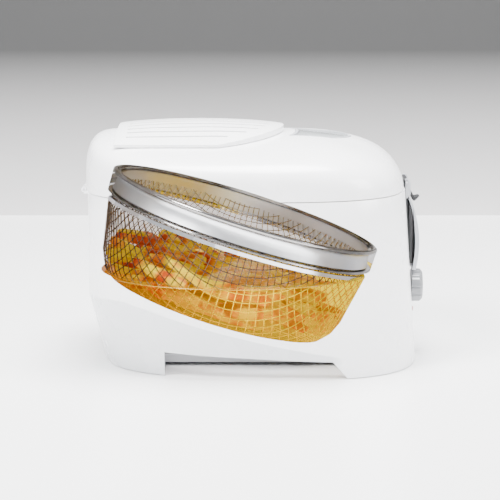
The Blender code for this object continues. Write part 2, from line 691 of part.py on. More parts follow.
def build_filter_cover():
    """A louvred cover over the filters, crowned across the lid."""
    def ring(scale, inset, top):
        points = []
        for x, y in cover_outline(inset):
            px = COVER_ARC_CENTRE + 0.012 + (x - COVER_ARC_CENTRE - 0.012) * scale
            py = y * scale
            across = 1 - (py / COVER_HALF_WIDTH) ** 2
            along = 1 - 0.7 * ((px + 0.058) / 0.09) ** 2
            rise = COVER_EDGE + (COVER_RISE - COVER_EDGE) * along * across - 0.0008 * scale ** 8 - inset
            points.append((px, py, cover_base(py) + (rise if top else 0.0)))
        return points

    def cover_base(py):
        return LID_BOTTOM + LID_RISE + 0.0007 - LID_SIDE_FALL * (py / HALF_WIDTH) ** 2

    scales = (0.25, 0.6, 0.85, 0.96, 1.0)
    loops = [ring(scale, 0.0, True) for scale in scales]
    loops.append(ring(1.0, 0.0, False))
    loops.append(ring(1.0, COVER_WALL, False))
    loops += [ring(scale, COVER_WALL, True) for scale in reversed(scales)]
    cover = loft("filter_cover", loops, WHITE)
    for i in range(LOUVRES):
        y = (i - (LOUVRES - 1) / 2) * LOUVRE_PITCH
        reach = COVER_ARC_CENTRE + math.sqrt(max(0.0, (COVER_RADIUS - 0.014) ** 2 - y * y))
        slot = block(f"louvre_{i}", (-0.124, y - LOUVRE_SLOT / 2, 0.228), (reach, y + LOUVRE_SLOT / 2, 0.26),
                     WHITE, cutter=True)
        boolean(cover, slot, "DIFFERENCE")


# ---------------------------------------------------------------- moving basket

def build_basket(tilt):
    """Support cradle, ring, basket and hub, all turned about the tilted axis."""
    lip = [(0.1430, -0.0060), (0.1475, -0.0060), (0.1475, -0.0022), (0.1430, -0.0022)]
    cradle = turned("basket_cradle", lip, STEEL, tilt, SEGMENTS)
    strap = block("cradle_strap", (0.1457, -0.008, -0.0055), (0.1470, 0.008, 0.056), STEEL, tilt, cutter=True)
    boolean(cradle, strap, "UNION")

    ring = [(0.1350, -0.0015), (RING_RADIUS, -0.0015), (RING_RADIUS, 0.0012), (0.1400, 0.0028),
            (0.1375, 0.0165), (0.1430, 0.0185), (0.1450, 0.0205), (0.1446, 0.0235), (0.1420, 0.0250),
            (0.1360, 0.0225)]
    turned("basket_ring", ring, STEEL, tilt, SEGMENTS)

    wall = 0.0014
    outer = [(0.1415, -0.0018), (0.1415, -0.0090), (0.1345, -0.0400), (0.1315, -0.0600)]
    outer += arc((0.1035, -0.0600), 0.028, 0, -90, 5)
    outer.append((HUB_RADIUS + GAP, -BASKET_DEPTH))
    inner = [(HUB_RADIUS + GAP, -BASKET_DEPTH + wall)]
    inner += arc((0.1035, -0.0600), 0.028 - wall, -90, 0, 5)
    inner += [(0.1345 - wall, -0.0400), (0.1415 - wall, -0.0090), (0.1415 - wall, -0.0018)]
    turned("wire_basket", outer + inner, STEEL, tilt, SEGMENTS)

    hub = turned("basket_hub", [(0.0, -0.0890), (HUB_RADIUS, -0.0890), (HUB_RADIUS, -0.0830),
                                (0.0085, -0.0775), (0.0, -0.0770)], STEEL, tilt, 28, closed=False)
    socket = prism("hub_socket", hexagon(DOG_RADIUS + 0.0006), -0.095, -0.0805, STEEL, "Z", tilt, cutter=True)
    boolean(hub, socket, "DIFFERENCE")


# ---------------------------------------------------------------- front controls

def build_knob():
    knob_outline = []
    flutes = 12
    for i in range(flutes * 2):
        radius = KNOB_RADIUS if i % 2 else KNOB_RADIUS - 0.0009
        angle = math.tau * i / (flutes * 2)
        knob_outline.append((radius * math.cos(angle), radius * math.sin(angle)))
    loops = []
    for x, scale in ((KNOB_BACK, 1.0), (KNOB_FRONT - 0.0025, 1.0), (KNOB_FRONT, 0.86)):
        loops.append([(x, y * scale, KNOB_HEIGHT + z * scale) for y, z in knob_outline])
    loft("thermostat_knob", loops, GREY)
    rod("knob_spindle", (0.1505, 0, KNOB_HEIGHT), (KNOB_BACK - GAP, 0, KNOB_HEIGHT), 0.0030, STEEL, 20)


def handle_thickness(z):
    return 0.0040 - 0.0018 * smoothstep(0.125, HANDLE_TOP, z)


def handle_arc(offset, z):
    """The bow's X at a height, on an arc that is offset inwards."""
    cx, cz = HANDLE_ARC_CENTRE
    return cx + math.sqrt(HANDLE_ARC_RADIUS ** 2 - (z - cz) ** 2) - offset


def build_handle():
    levels = [HANDLE_BOTTOM + (HANDLE_TOP - HANDLE_BOTTOM) * i / 12 for i in range(13)]
    shell = [(handle_arc(0.0, z), z) for z in levels]
    shell += [(handle_arc(handle_thickness(z), z), z) for z in reversed(levels)]
    prism("handle_shell", shell, -HANDLE_HALF_WIDTH, HANDLE_HALF_WIDTH, LIGHT_GREY)

    grip_levels = [z for z in levels if z > HANDLE_BOTTOM + 0.004]
    grip = [(handle_arc(handle_thickness(z) + 0.0008, z), z) for z in grip_levels]
    grip += [(0.1600, 0.1690), (0.1602, 0.1800)]
    grip += arc(HANDLE_PIVOT, 0.0027, -30, 210, 10)
    grip += [(0.1567, 0.1690)]
    grip += [(FRONT_AT_FLOOR - FRONT_SLOPE * z + 0.0008, z) for z in (grip_levels[-1], grip_levels[0])]
    handle = prism("handle_grip", grip, -0.0200, 0.0200, BLACK)
    bore_x, bore_z = HANDLE_PIVOT
    bore = rod("handle_bore", (bore_x, -0.03, bore_z), (bore_x, 0.03, bore_z), 0.00165, BLACK, 18,
               cutter=True)
    boolean(handle, bore, "DIFFERENCE")
    rod("handle_pivot_pin", (bore_x, -0.0265, bore_z), (bore_x, 0.0265, bore_z), 0.0013, STEEL, 16)

    slider = [(0.1606, 0.1790), (0.1606, 0.1700), (0.1636, 0.1640), (0.1652, 0.1604), (0.1675, 0.1600),
              (0.1725, 0.1650), (0.1670, 0.1640), (0.1625, 0.1725)]
    prism("handle_slider", slider, -0.0095, 0.0095, BLACK, bevel=0.0004)

    for side, name in ((-1, "near"), (1, "far")):
        ear = [(0.1571, 0.1640), (0.1612, 0.1690), (0.1612, 0.1800)]
        ear += arc(HANDLE_PIVOT, 0.0035, 10, 120, 6)
        ear += [(0.1556, 0.1830), (0.1561, 0.1690)]
        low, high = sorted((side * 0.0206, side * 0.0250))
        made = prism(f"handle_bracket_{name}", [(x + 0.0006, z) for x, z in ear], low, high, LIGHT_GREY)
        hole = rod(f"bracket_bore_{name}", (bore_x, -0.03, bore_z), (bore_x, 0.03, bore_z), 0.00165,
                   LIGHT_GREY, 18, cutter=True)
        boolean(made, hole, "DIFFERENCE")

    y, z = BUTTON_PLACE
    button = [(0.0, 0.1574), (0.0050, 0.1572), (0.0060, 0.1564), (0.0060, 0.1525), (0.0, 0.1525)]
    turn_along_x("lid_release_button", button, LIGHT_GREY, y, z, 20)


def main():
    for leftover in list(bpy.data.objects):
        bpy.data.objects.remove(leftover, do_unlink=True)
    tilt = bpy.data.objects.new("basket_axis", None)
    bpy.context.scene.collection.objects.link(tilt)
    tilt.location = BASKET_CENTRE
    tilt.rotation_euler = (0.0, BASKET_TILT, 0.0)
    cutaway = build_cutaway()
    build_casing(cutaway)
    build_base()
    build_bowl(tilt, cutaway)
    build_heating(tilt)
    build_drive(tilt)
    build_electrics()
    build_lid(cutaway)
    build_filter_cover()
    build_basket(tilt)
    build_knob()
    build_handle()


main()
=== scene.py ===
"""Looks of the deep fryer: fine shells, wire basket, oil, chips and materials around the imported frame."""

import json
import math
import random

import bmesh
import bpy
from mathutils import Matrix, Vector


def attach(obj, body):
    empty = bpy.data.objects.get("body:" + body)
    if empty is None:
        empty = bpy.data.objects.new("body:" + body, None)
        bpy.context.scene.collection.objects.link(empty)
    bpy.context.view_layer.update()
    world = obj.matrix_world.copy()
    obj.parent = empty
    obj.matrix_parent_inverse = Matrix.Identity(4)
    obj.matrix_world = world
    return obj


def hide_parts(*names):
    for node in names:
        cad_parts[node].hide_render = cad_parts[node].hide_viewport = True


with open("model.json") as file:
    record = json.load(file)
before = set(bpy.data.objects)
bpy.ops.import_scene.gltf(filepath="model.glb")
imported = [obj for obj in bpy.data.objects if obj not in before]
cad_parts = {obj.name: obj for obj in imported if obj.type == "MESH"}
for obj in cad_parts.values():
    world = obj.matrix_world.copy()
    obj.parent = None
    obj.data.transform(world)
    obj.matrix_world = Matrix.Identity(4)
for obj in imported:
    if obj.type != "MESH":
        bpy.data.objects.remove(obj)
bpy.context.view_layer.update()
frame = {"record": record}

# Shapes shared with the frame
SEGMENTS = 192
CORNER_POWER = 3.0
HALF_WIDTH = 0.1575
WALL = 0.003
FRONT_AT_FLOOR = 0.168
FRONT_SLOPE = 0.0706
BACK = -0.173
BACK_TAPER = 0.018
BACK_TAPER_TOP = 0.070
CASING_BOTTOM = 0.0008
CASING_TOP = 0.1765
CREASE_START = (-0.130, 0.0751)
CREASE_SLOPE = 0.33
CREASE_CURVE = 0.39
CREASE_TAPER = math.tan(math.radians(12))
CREASE_END = (0.075, 0.095)
ARCH = [(-0.090, -0.01), (-0.090, 0.0255), (0.077, 0.0175), (0.092, 0.0), (0.092, -0.01)]
LID_BOTTOM = 0.1775
LID_FRONT = 0.1540
LID_BACK = -0.1745
LID_RISE = 0.0560
LID_SIDE_FALL = 0.0240
LID_WALL = 0.0025
COVER_BACK = -0.141
COVER_ARC_CENTRE = -0.075
COVER_RADIUS = 0.105
COVER_HALF_WIDTH = 0.098
COVER_RISE = 0.0107
COVER_EDGE = 0.0036
COVER_WALL = 0.0022
LOUVRES = 11
LOUVRE_PITCH = 0.0155
LOUVRE_SLOT = 0.0030
WINDOW_BACK = 0.043
WINDOW_FRONT = 0.100
WINDOW_HALF_WIDTH = 0.042
BASKET_CENTRE = Vector((-0.016, 0.0, 0.130))
BASKET_TILT = math.radians(17.4)
RING_RADIUS = 0.1445
BASKET_DEPTH = 0.088
BOWL_RADIUS = 0.150
BOWL_WALL = 0.0015
BOWL_FLOOR = -0.092
BOWL_BEND = (0.1105, -0.064)
BOWL_BEND_RADIUS = 0.028
BOWL_KNEE = (0.1385, -0.060)
BOWL_DRAIN = 0.0065
BOWL_SHOULDER = -0.005
BOWL_TOP = 0.045
RIM_PLANE_BACK = (-0.155, 0.172)
RIM_PLANE_FRONT = (0.135, 0.118)
OIL_LEVEL = 0.088
OIL_GAP = 0.0006
OIL_EDGE_RADIUS = 0.0004
KNOB_HEIGHT = 0.0695
KNOB_RADIUS = 0.0173
KNOB_BACK = 0.1647
KNOB_FRONT = 0.1767
KNOB_FLUTES = 12
PILOT_HEIGHT = 0.044
INLET_PLACE = (0.05, 0.030)
INLET_RADIUS = 0.0064
BUTTON_PLACE = (0.045, 0.158)
HANDLE_ARC_CENTRE = (0.0502, 0.117)
HANDLE_ARC_RADIUS = 0.1213
HANDLE_TOP = 0.164
HANDLE_BOTTOM = 0.089
HANDLE_HALF_WIDTH = 0.0225
HINGE_AXIS = (-0.1750, 0.1775)
KNUCKLE_RADIUS = 0.0026
KNUCKLE_INNER = 0.0345
KNUCKLE_OUTER = 0.0555

# Camera and stage
EYE = Vector((-0.005, -2.10, 0.43))
AIM = Vector((-0.005, 0.0, 0.1065))
LENS = 145
FLOOR_REACH = 4.0
BACKDROP_Y = 1.05
BACKDROP_TOP = 0.345

# Looks
WIRE = 0.00055
WIRE_PITCH = 0.0092
CHIPS = 170
HEAP_TOP = -0.045
SMOOTH_ANGLE = math.radians(32)
IN_BASKET = Matrix.Translation(BASKET_CENTRE) @ Matrix.Rotation(BASKET_TILT, 4, "Y")


# ---------------------------------------------------------------- materials

def shader_of(name, colour, roughness, metallic=0.0, coat=0.0):
    """A Principled material with its plain values set on the shader."""
    made = bpy.data.materials.new(name)
    made.use_nodes = True
    tree = made.node_tree
    shader = tree.nodes["Principled BSDF"]
    shader.inputs["Base Color"].default_value = (*colour, 1.0)
    shader.inputs["Roughness"].default_value = roughness
    shader.inputs["Metallic"].default_value = metallic
    shader.inputs["Coat Weight"].default_value = coat
    shader.inputs["Coat Roughness"].default_value = 0.12
    return made, tree, shader


def vary(tree, shader, colour, scale, amount, roughness, spread, bump=0.0, bump_scale=None,
         stretch=(1, 1, 1)):
    """Mottle a material's colour and roughness with noise, and roughen it with a fine bump."""
    place = tree.nodes.new("ShaderNodeTexCoord")
    mapping = tree.nodes.new("ShaderNodeMapping")
    mapping.inputs["Scale"].default_value = stretch
    tree.links.new(place.outputs["Object"], mapping.inputs["Vector"])
    noise = tree.nodes.new("ShaderNodeTexNoise")
    noise.inputs["Scale"].default_value = scale
    noise.inputs["Detail"].default_value = 4.0
    tree.links.new(mapping.outputs["Vector"], noise.inputs["Vector"])
    ramp = tree.nodes.new("ShaderNodeValToRGB")
    ramp.color_ramp.elements[0].position = 0.3
    ramp.color_ramp.elements[1].position = 0.7
    ramp.color_ramp.elements[0].color = (*[c * (1 - amount) for c in colour], 1.0)
    ramp.color_ramp.elements[1].color = (*[min(1.0, c * (1 + amount)) for c in colour], 1.0)
    tree.links.new(noise.outputs["Fac"], ramp.inputs["Fac"])
    tree.links.new(ramp.outputs["Color"], shader.inputs["Base Color"])
    level = tree.nodes.new("ShaderNodeMapRange")
    level.inputs["To Min"].default_value = roughness - spread
    level.inputs["To Max"].default_value = roughness + spread
    tree.links.new(noise.outputs["Fac"], level.inputs["Value"])
    tree.links.new(level.outputs["Result"], shader.inputs["Roughness"])
    if bump:
        grain = tree.nodes.new("ShaderNodeTexNoise")
        grain.inputs["Scale"].default_value = bump_scale
        grain.inputs["Detail"].default_value = 3.0
        tree.links.new(mapping.outputs["Vector"], grain.inputs["Vector"])
        raised = tree.nodes.new("ShaderNodeBump")
        raised.inputs["Strength"].default_value = bump
        raised.inputs["Distance"].default_value = 0.0004
        tree.links.new(grain.outputs["Fac"], raised.inputs["Height"])
        tree.links.new(raised.outputs["Normal"], shader.inputs["Normal"])


def plastic(name, colour, roughness, amount=0.015, bump=0.05, coat=0.0):
    made, tree, shader = shader_of(name, colour, roughness, coat=coat)
    vary(tree, shader, colour, 26, amount, roughness, 0.04, bump, 1400)
    return made


def metal(name, colour, roughness, amount=0.04, stretch=(1, 1, 40), bump=0.04):
    made, tree, shader = shader_of(name, colour, roughness, metallic=1.0)
    vary(tree, shader, colour, 60, amount, roughness, 0.06, bump, 500, stretch)
    return made


def oil_material():
    """Golden frying oil: clear, with a painted glow (emission) in yellow at the front and browner towards the
    rear and the bottom.
    """
    made, tree, shader = shader_of("frying_oil", (1.0, 0.80, 0.05), 0.05)
    shader.inputs["Transmission Weight"].default_value = 1.0
    shader.inputs["IOR"].default_value = 1.06
    # Painted light: the oil glows (emission) though it is no lamp.
    shader.inputs["Emission Strength"].default_value = 0.20
    place = tree.nodes.new("ShaderNodeTexCoord")
    split = tree.nodes.new("ShaderNodeSeparateXYZ")
    along = tree.nodes.new("ShaderNodeMapRange")
    along.inputs["From Min"].default_value = -0.15
    along.inputs["From Max"].default_value = 0.04
    cloud = tree.nodes.new("ShaderNodeTexNoise")
    cloud.inputs["Scale"].default_value = 22
    mix = tree.nodes.new("ShaderNodeMath")
    mix.operation = "MULTIPLY_ADD"
    mix.inputs[1].default_value = 0.5
    ramp = tree.nodes.new("ShaderNodeValToRGB")
    ramp.color_ramp.elements[0].color = (0.55, 0.22, 0.0, 1.0)
    ramp.color_ramp.elements[0].position = 0.25
    ramp.color_ramp.elements[1].color = (0.95, 0.72, 0.0, 1.0)
    ramp.color_ramp.elements[1].position = 0.95
    tree.links.new(place.outputs["Object"], split.inputs["Vector"])
    tree.links.new(place.outputs["Object"], cloud.inputs["Vector"])
    tree.links.new(split.outputs["X"], along.inputs["Value"])
    tree.links.new(cloud.outputs["Fac"], mix.inputs[0])
    tree.links.new(along.outputs["Result"], mix.inputs[2])
    tree.links.new(mix.outputs["Value"], ramp.inputs["Fac"])
    tree.links.new(ramp.outputs["Color"], shader.inputs["Base Color"])
    # The same ramp colours the painted glow.
    tree.links.new(ramp.outputs["Color"], shader.inputs["Emission Color"])
    return made


def chip_material():
    """Fried potato: yellow sides browning to orange in patches, which replace the mottled colour, with a
    faint painted glow (emission) in the same colours.
    """
    made, tree, shader = shader_of("fried_potato", (0.95, 0.50, 0.02), 0.55)
    vary(tree, shader, (0.95, 0.50, 0.02), 70, 0.1, 0.55, 0.1, 0.5, 900)
    shader.inputs["Specular IOR Level"].default_value = 0.25
    place = tree.nodes.new("ShaderNodeTexCoord")
    patch = tree.nodes.new("ShaderNodeTexNoise")
    patch.inputs["Scale"].default_value = 34
    tree.links.new(place.outputs["Object"], patch.inputs["Vector"])
    ramp = tree.nodes.new("ShaderNodeValToRGB")
    stops = ramp.color_ramp.elements
    stops[0].position = 0.38
    stops[0].color = (0.45, 0.05, 0.0, 1.0)
    stops[1].position = 0.53
    stops[1].color = (0.76, 0.52, 0.0, 1.0)
    middle = stops.new(0.45)
    middle.color = (0.68, 0.20, 0.0, 1.0)
    tree.links.new(patch.outputs["Fac"], ramp.inputs["Fac"])
    tree.links.new(ramp.outputs["Color"], shader.inputs["Base Color"])
    # Painted light: the patch colours also glow faintly (emission), though the chips are no lamp.
    tree.links.new(ramp.outputs["Color"], shader.inputs["Emission Color"])
    shader.inputs["Emission Strength"].default_value = 0.12
    shader.inputs["Subsurface Weight"].default_value = 0.1
    return made


def bowl_material():
    """Brushed bright bowl with a painted glow (emission) that keeps it pale above the oil."""
    made, tree, shader = shader_of("bowl_painted_glow", (0.90, 0.90, 0.91), 0.42, metallic=0.1)
    vary(tree, shader, (0.90, 0.90, 0.91), 40, 0.03, 0.42, 0.05, 0.04, 600)
    # Painted light: the bowl glows with a pale white emission, though it is no lamp.
    shader.inputs["Emission Color"].default_value = (0.95, 0.95, 1.0, 1.0)
    shader.inputs["Emission Strength"].default_value = 0.8
    return made


def wire_material():
    """Steel wire: above the oil a painted dark brown shade on the near side and bright on the far one; inside
    the oil a painted pale yellow light.
    """
    made, tree, shader = shader_of("basket_wire", (0.3, 0.2, 0.1), 0.24, metallic=0.8)
    place = tree.nodes.new("ShaderNodeTexCoord")
    split = tree.nodes.new("ShaderNodeSeparateXYZ")
    depth = tree.nodes.new("ShaderNodeMapRange")
    depth.inputs["From Min"].default_value = OIL_LEVEL - 0.004
    depth.inputs["From Max"].default_value = OIL_LEVEL + 0.004
    # Painted shade: above the oil, wires on the camera's side (low Y) turn dark brown, those on the far side
    # bright grey.
    side = tree.nodes.new("ShaderNodeMapRange")
    side.inputs["From Min"].default_value = -0.02
    side.inputs["From Max"].default_value = 0.03
    above = tree.nodes.new("ShaderNodeValToRGB")
    above.color_ramp.elements[0].color = (0.09, 0.055, 0.03, 1.0)
    above.color_ramp.elements[1].color = (0.52, 0.52, 0.53, 1.0)
    # Painted light: below the oil level the wires take a mottled pale yellow, the light that comes through
    # the oil.
    below = tree.nodes.new("ShaderNodeTexNoise")
    below.inputs["Scale"].default_value = 60
    pale = tree.nodes.new("ShaderNodeValToRGB")
    pale.color_ramp.elements[0].color = (0.70, 0.50, 0.08, 1.0)
    pale.color_ramp.elements[1].color = (1.0, 0.92, 0.50, 1.0)
    mix = tree.nodes.new("ShaderNodeMix")
    mix.data_type = "RGBA"
    tree.links.new(place.outputs["Object"], split.inputs["Vector"])
    tree.links.new(place.outputs["Object"], below.inputs["Vector"])
    tree.links.new(split.outputs["Z"], depth.inputs["Value"])
    tree.links.new(split.outputs["Y"], side.inputs["Value"])
    tree.links.new(side.outputs["Result"], above.inputs["Fac"])
    tree.links.new(below.outputs["Fac"], pale.inputs["Fac"])
    tree.links.new(depth.outputs["Result"], mix.inputs[0])
    tree.links.new(pale.outputs["Color"], mix.inputs[6])
    tree.links.new(above.outputs["Color"], mix.inputs[7])
    tree.links.new(mix.outputs[2], shader.inputs["Base Color"])
    return made


def glass_material():
    """The window's pale smoked plastic."""
    made, tree, shader = shader_of("smoked_window", (0.60, 0.63, 0.64), 0.10, coat=0.5)
    vary(tree, shader, (0.60, 0.63, 0.64), 12, 0.03, 0.10, 0.03)
    shader.inputs["Transmission Weight"].default_value = 0.35
    return made


def casing_material():
    """Gloss white with painted shade: greyer on the faces that lean under and towards the casing's foot."""
    made, tree, shader = shader_of("casing_white_painted_shade", (0.9, 0.9, 0.91), 0.27, coat=0.25)
    vary(tree, shader, (0.9, 0.9, 0.91), 26, 0.012, 0.27, 0.04, 0.05, 1400)
    # Painted shade: faces whose normals point downwards, and the casing's lower part, are coloured greyer.
    facing = tree.nodes.new("ShaderNodeNewGeometry")
    split = tree.nodes.new("ShaderNodeSeparateXYZ")
    lean = tree.nodes.new("ShaderNodeMapRange")
    lean.interpolation_type = "SMOOTHSTEP"
    lean.inputs["From Min"].default_value = -0.17
    lean.inputs["From Max"].default_value = -0.02
    lean.inputs["To Min"].default_value = 0.45
    place = tree.nodes.new("ShaderNodeTexCoord")
    height = tree.nodes.new("ShaderNodeSeparateXYZ")
    low = tree.nodes.new("ShaderNodeMapRange")
    low.inputs["From Min"].default_value = 0.0
    low.inputs["From Max"].default_value = 0.09
    low.inputs["To Min"].default_value = 0.80
    low.inputs["To Max"].default_value = 1.0
    painted_shade = tree.nodes.new("ShaderNodeMath")
    painted_shade.operation = "MULTIPLY"
    ramp = tree.nodes.new("ShaderNodeValToRGB")
    ramp.color_ramp.elements[0].color = (0.52, 0.54, 0.56, 1.0)
    ramp.color_ramp.elements[1].color = (0.93, 0.93, 0.94, 1.0)
    ramp.color_ramp.elements[0].position = 0.15
    tree.links.new(facing.outputs["Normal"], split.inputs["Vector"])
    tree.links.new(split.outputs["Z"], lean.inputs["Value"])
    tree.links.new(place.outputs["Object"], height.inputs["Vector"])
    tree.links.new(height.outputs["Z"], low.inputs["Value"])
    tree.links.new(lean.outputs["Result"], painted_shade.inputs[0])
    tree.links.new(low.outputs["Result"], painted_shade.inputs[1])
    tree.links.new(painted_shade.outputs["Value"], ramp.inputs["Fac"])
    tree.links.new(ramp.outputs["Color"], shader.inputs["Base Color"])
    return made


MATERIALS = {
    "white_plastic": plastic("glossy_white", (0.92, 0.92, 0.93), 0.27, coat=0.25),
    "light_grey_plastic": plastic("satin_light_grey", (0.40, 0.41, 0.43), 0.38),
    "grey_plastic": plastic("satin_grey", (0.20, 0.205, 0.215), 0.36),
    "black_plastic": plastic("moulded_black", (0.016, 0.016, 0.018), 0.40, 0.1, 0.12),
    "rubber": plastic("rubber_black", (0.03, 0.03, 0.03), 0.80, 0.1, 0.3),
    "steel": metal("bright_steel", (0.72, 0.72, 0.74), 0.20),
    "aluminium": metal("satin_aluminium", (0.90, 0.90, 0.91), 0.34),
    "window_glass": glass_material(),
    "red_lens": plastic("red_brown_lens", (0.30, 0.05, 0.04), 0.15, coat=0.6),
    "brass": metal("turned_brass", (0.72, 0.52, 0.22), 0.30),
    "charcoal": plastic("charcoal_felt", (0.03, 0.03, 0.03), 0.95, 0.3, 0.6),
    "silicone": plastic("pale_silicone", (0.62, 0.62, 0.61), 0.60),
    "ceramic": plastic("glazed_ceramic", (0.85, 0.83, 0.76), 0.45),
    "nylon": plastic("natural_nylon", (0.80, 0.78, 0.70), 0.48),
}
BOWL_LOOK = bowl_material()
BAND = metal("satin_band", (0.80, 0.81, 0.83), 0.36, 0.03, (1, 1, 1), 0.02)
CHROME = metal("polished_rim", (0.30, 0.29, 0.285), 0.14, 0.05, (1, 1, 1), 0.0)
WIRES = wire_material()


# ---------------------------------------------------------------- mesh helpers

def finish(name, work, finish_of, cutter=False):
    bmesh.ops.recalc_face_normals(work, faces=work.faces[:])
    if work.calc_volume(signed=True) < 0:
        bmesh.ops.reverse_faces(work, faces=work.faces[:])
    mesh = bpy.data.meshes.new(name)
    work.to_mesh(mesh)
    work.free()
    mesh.shade_smooth()
    mesh.set_sharp_from_angle(angle=SMOOTH_ANGLE)
    made = bpy.data.objects.new(name, mesh)
    bpy.context.scene.collection.objects.link(made)
    if not cutter:
        mesh.materials.append(finish_of)
    return made


def loft(name, loops, finish_of=None, closed=False, cutter=False):
    """Skin equal loops of points. Closed joins the last loop to the first, else the ends are capped."""
    work = bmesh.new()
    rows = [[work.verts.new(point) for point in loop] for loop in loops]
    count = len(rows[0])
    pairs = list(zip(rows, rows[1:]))
    if closed:
        pairs.append((rows[-1], rows[0]))
    for low, high in pairs:
        for i in range(count):
            j = (i + 1) % count
            work.faces.new((low[i], low[j], high[j], high[i]))
    if not closed:
        work.faces.new(rows[0])
        work.faces.new(rows[-1])
        bmesh.ops.triangulate(work, faces=[f for f in work.faces if len(f.verts) > 4])
    return finish(name, work, finish_of, cutter)


def turned(name, profile, finish_of, place=Matrix.Identity(4), segments=SEGMENTS, closed=True, cutter=False):
    """Turn a profile of (radius, height) points about the Z axis of a place."""
    work = bmesh.new()
    verts = [work.verts.new((r, 0.0, h)) for r, h in profile]
    edges = [work.edges.new(pair) for pair in zip(verts, verts[1:])]
    if closed:
        edges.append(work.edges.new((verts[-1], verts[0])))
    bmesh.ops.spin(work, geom=verts + edges, axis=(0, 0, 1), cent=(0, 0, 0), steps=segments, angle=math.tau)
    bmesh.ops.remove_doubles(work, verts=work.verts[:], dist=1e-6)
    work.transform(place)
    return finish(name, work, finish_of, cutter)


def prism(name, outline, start, end, finish_of=None, axis="Y", bevel=0.0, cutter=False):
    """Extrude an outline: (x, z) along Y, (x, y) along Z or (y, z) along X."""
    place = {
        "X": lambda a, b, c: (c, a, b),
        "Y": lambda a, b, c: (a, c, b),
        "Z": lambda a, b, c: (a, b, c),
    }[axis]
    made = loft(name, [[place(a, b, c) for a, b in outline] for c in (start, end)], finish_of, cutter=cutter)
    if bevel:
        soften(made, bevel)
    return made


def rod(name, start, end, radius, finish_of=None, segments=40, cutter=False):
    start, end = Vector(start), Vector(end)
    along = end - start
    place = Matrix.Translation((start + end) / 2) @ along.to_track_quat("Z", "Y").to_matrix().to_4x4()
    work = bmesh.new()
    bmesh.ops.create_cone(work, cap_ends=True, segments=segments, radius1=radius, radius2=radius,
                          depth=along.length, matrix=place)
    return finish(name, work, finish_of, cutter)


def block(name, low, high, finish_of=None, bevel=0.0, cutter=False):
    outline = [(low[0], low[1]), (high[0], low[1]), (high[0], high[1]), (low[0], high[1])]
    return prism(name, outline, low[2], high[2], finish_of, "Z", bevel, cutter)


def soften(made, width, segments=3):
    step = made.modifiers.new("soft_edges", "BEVEL")
    step.width = width
    step.segments = segments
    step.limit_method = "ANGLE"
    step.angle_limit = SMOOTH_ANGLE


def settle(made):
    """Apply an object's modifiers and refresh its sharp edges."""
    mesh = bpy.data.meshes.new_from_object(made.evaluated_get(bpy.context.evaluated_depsgraph_get()))
    made.modifiers.clear()
    made.data = mesh
    mesh.shade_smooth()
    mesh.set_sharp_from_angle(angle=SMOOTH_ANGLE)


def carve(target, cutters, operation="DIFFERENCE"):
    """Cut or join a target by solids that the caller then drops."""
    for cutter in cutters:
        step = target.modifiers.new(cutter.name, "BOOLEAN")
        step.operation = operation
        step.solver = "EXACT"
        step.object = cutter
    bpy.context.view_layer.update()
    settle(target)


def drop(objects):
    for made in objects:
        bpy.data.objects.remove(made, do_unlink=True)


def arc(centre, radius, start, end, steps):
    points = []
    for i in range(steps + 1):
        angle = math.radians(start + (end - start) * i / steps)
        points.append((centre[0] + radius * math.cos(angle), centre[1] + radius * math.sin(angle)))
    return points


def smoothstep(low, high, value):
    t = min(1.0, max(0.0, (value - low) / (high - low)))
    return t * t * (3 - 2 * t)


# ---------------------------------------------------------------- shared shapes

def plan_point(angle, back, front, half_width):
    """A point of a rounded plan between a back, a front and two sides."""
    half_length = (front - back) / 2
    c, s = math.cos(angle), math.sin(angle)
    reach = (abs(c / half_length) ** CORNER_POWER
             + abs(s / half_width) ** CORNER_POWER) ** (-1 / CORNER_POWER)
    return (back + front) / 2 + reach * c, reach * s


def crease_height(x):
    """The height of the side crease, which sweeps down from the rear and levels out."""
    run = max(0.0, x - CREASE_START[0])
    return CREASE_START[1] - CREASE_SLOPE * run + CREASE_CURVE * run * run


def casing_point(i, z, inset):
    """The casing's plan at one of its angles and a height. Below its crease the side leans inwards."""
    back = BACK + BACK_TAPER * max(0.0, 1 - z / BACK_TAPER_TOP) + inset
    front = FRONT_AT_FLOOR - FRONT_SLOPE * z - inset
    x, y = plan_point(math.tau * i / SEGMENTS, back, front, HALF_WIDTH - inset)
    lean = CREASE_TAPER * max(0.0, crease_height(x) - z)
    lean *= 1 - smoothstep(*CREASE_END, x)
    return x, y * (1 - lean / HALF_WIDTH), z


def casing_loop(z, inset=0.0):
    return [casing_point(i, z, inset) for i in range(SEGMENTS)]


def creased_loop(share, inset):
    """A loop of the casing: 0 is its foot, 1 the crease and 2 the top edge."""
    loop = []
    for i in range(SEGMENTS):
        x = casing_point(i, 0.06, 0.0)[0]
        crease = max(0.02, crease_height(x))
        if share <= 1:
            z = CASING_BOTTOM + (crease - CASING_BOTTOM) * share
        else:
            z = crease + (CASING_TOP - 0.0012 - crease) * (share - 1)
        loop.append(casing_point(i, z, inset))
    return loop


def lid_height(reach, angle, y):
    """The lid's height at a share of the way from its middle to its edge."""
    front = smoothstep(0.1, 0.95, math.cos(angle))
    power = 20 + (4 - 20) * front
    root = 4 + (2 - 4) * front
    crown = (1 - reach ** power) ** (1 / root)
    fall = LID_SIDE_FALL * (y / HALF_WIDTH) ** 2
    return max(0.0, LID_RISE * crown - fall * crown)


def lid_loop(reach, inset, drop_share):
    loop = []
    middle = (LID_BACK + LID_FRONT) / 2
    for i in range(SEGMENTS):
        angle = math.tau * i / SEGMENTS
        x, y = plan_point(angle, LID_BACK + inset, LID_FRONT - inset, HALF_WIDTH - inset)
        x = middle + (x - middle) * reach
        y *= reach
        loop.append((x, y, LID_BOTTOM + lid_height(reach, angle, y) * (1 - drop_share)))
    return loop


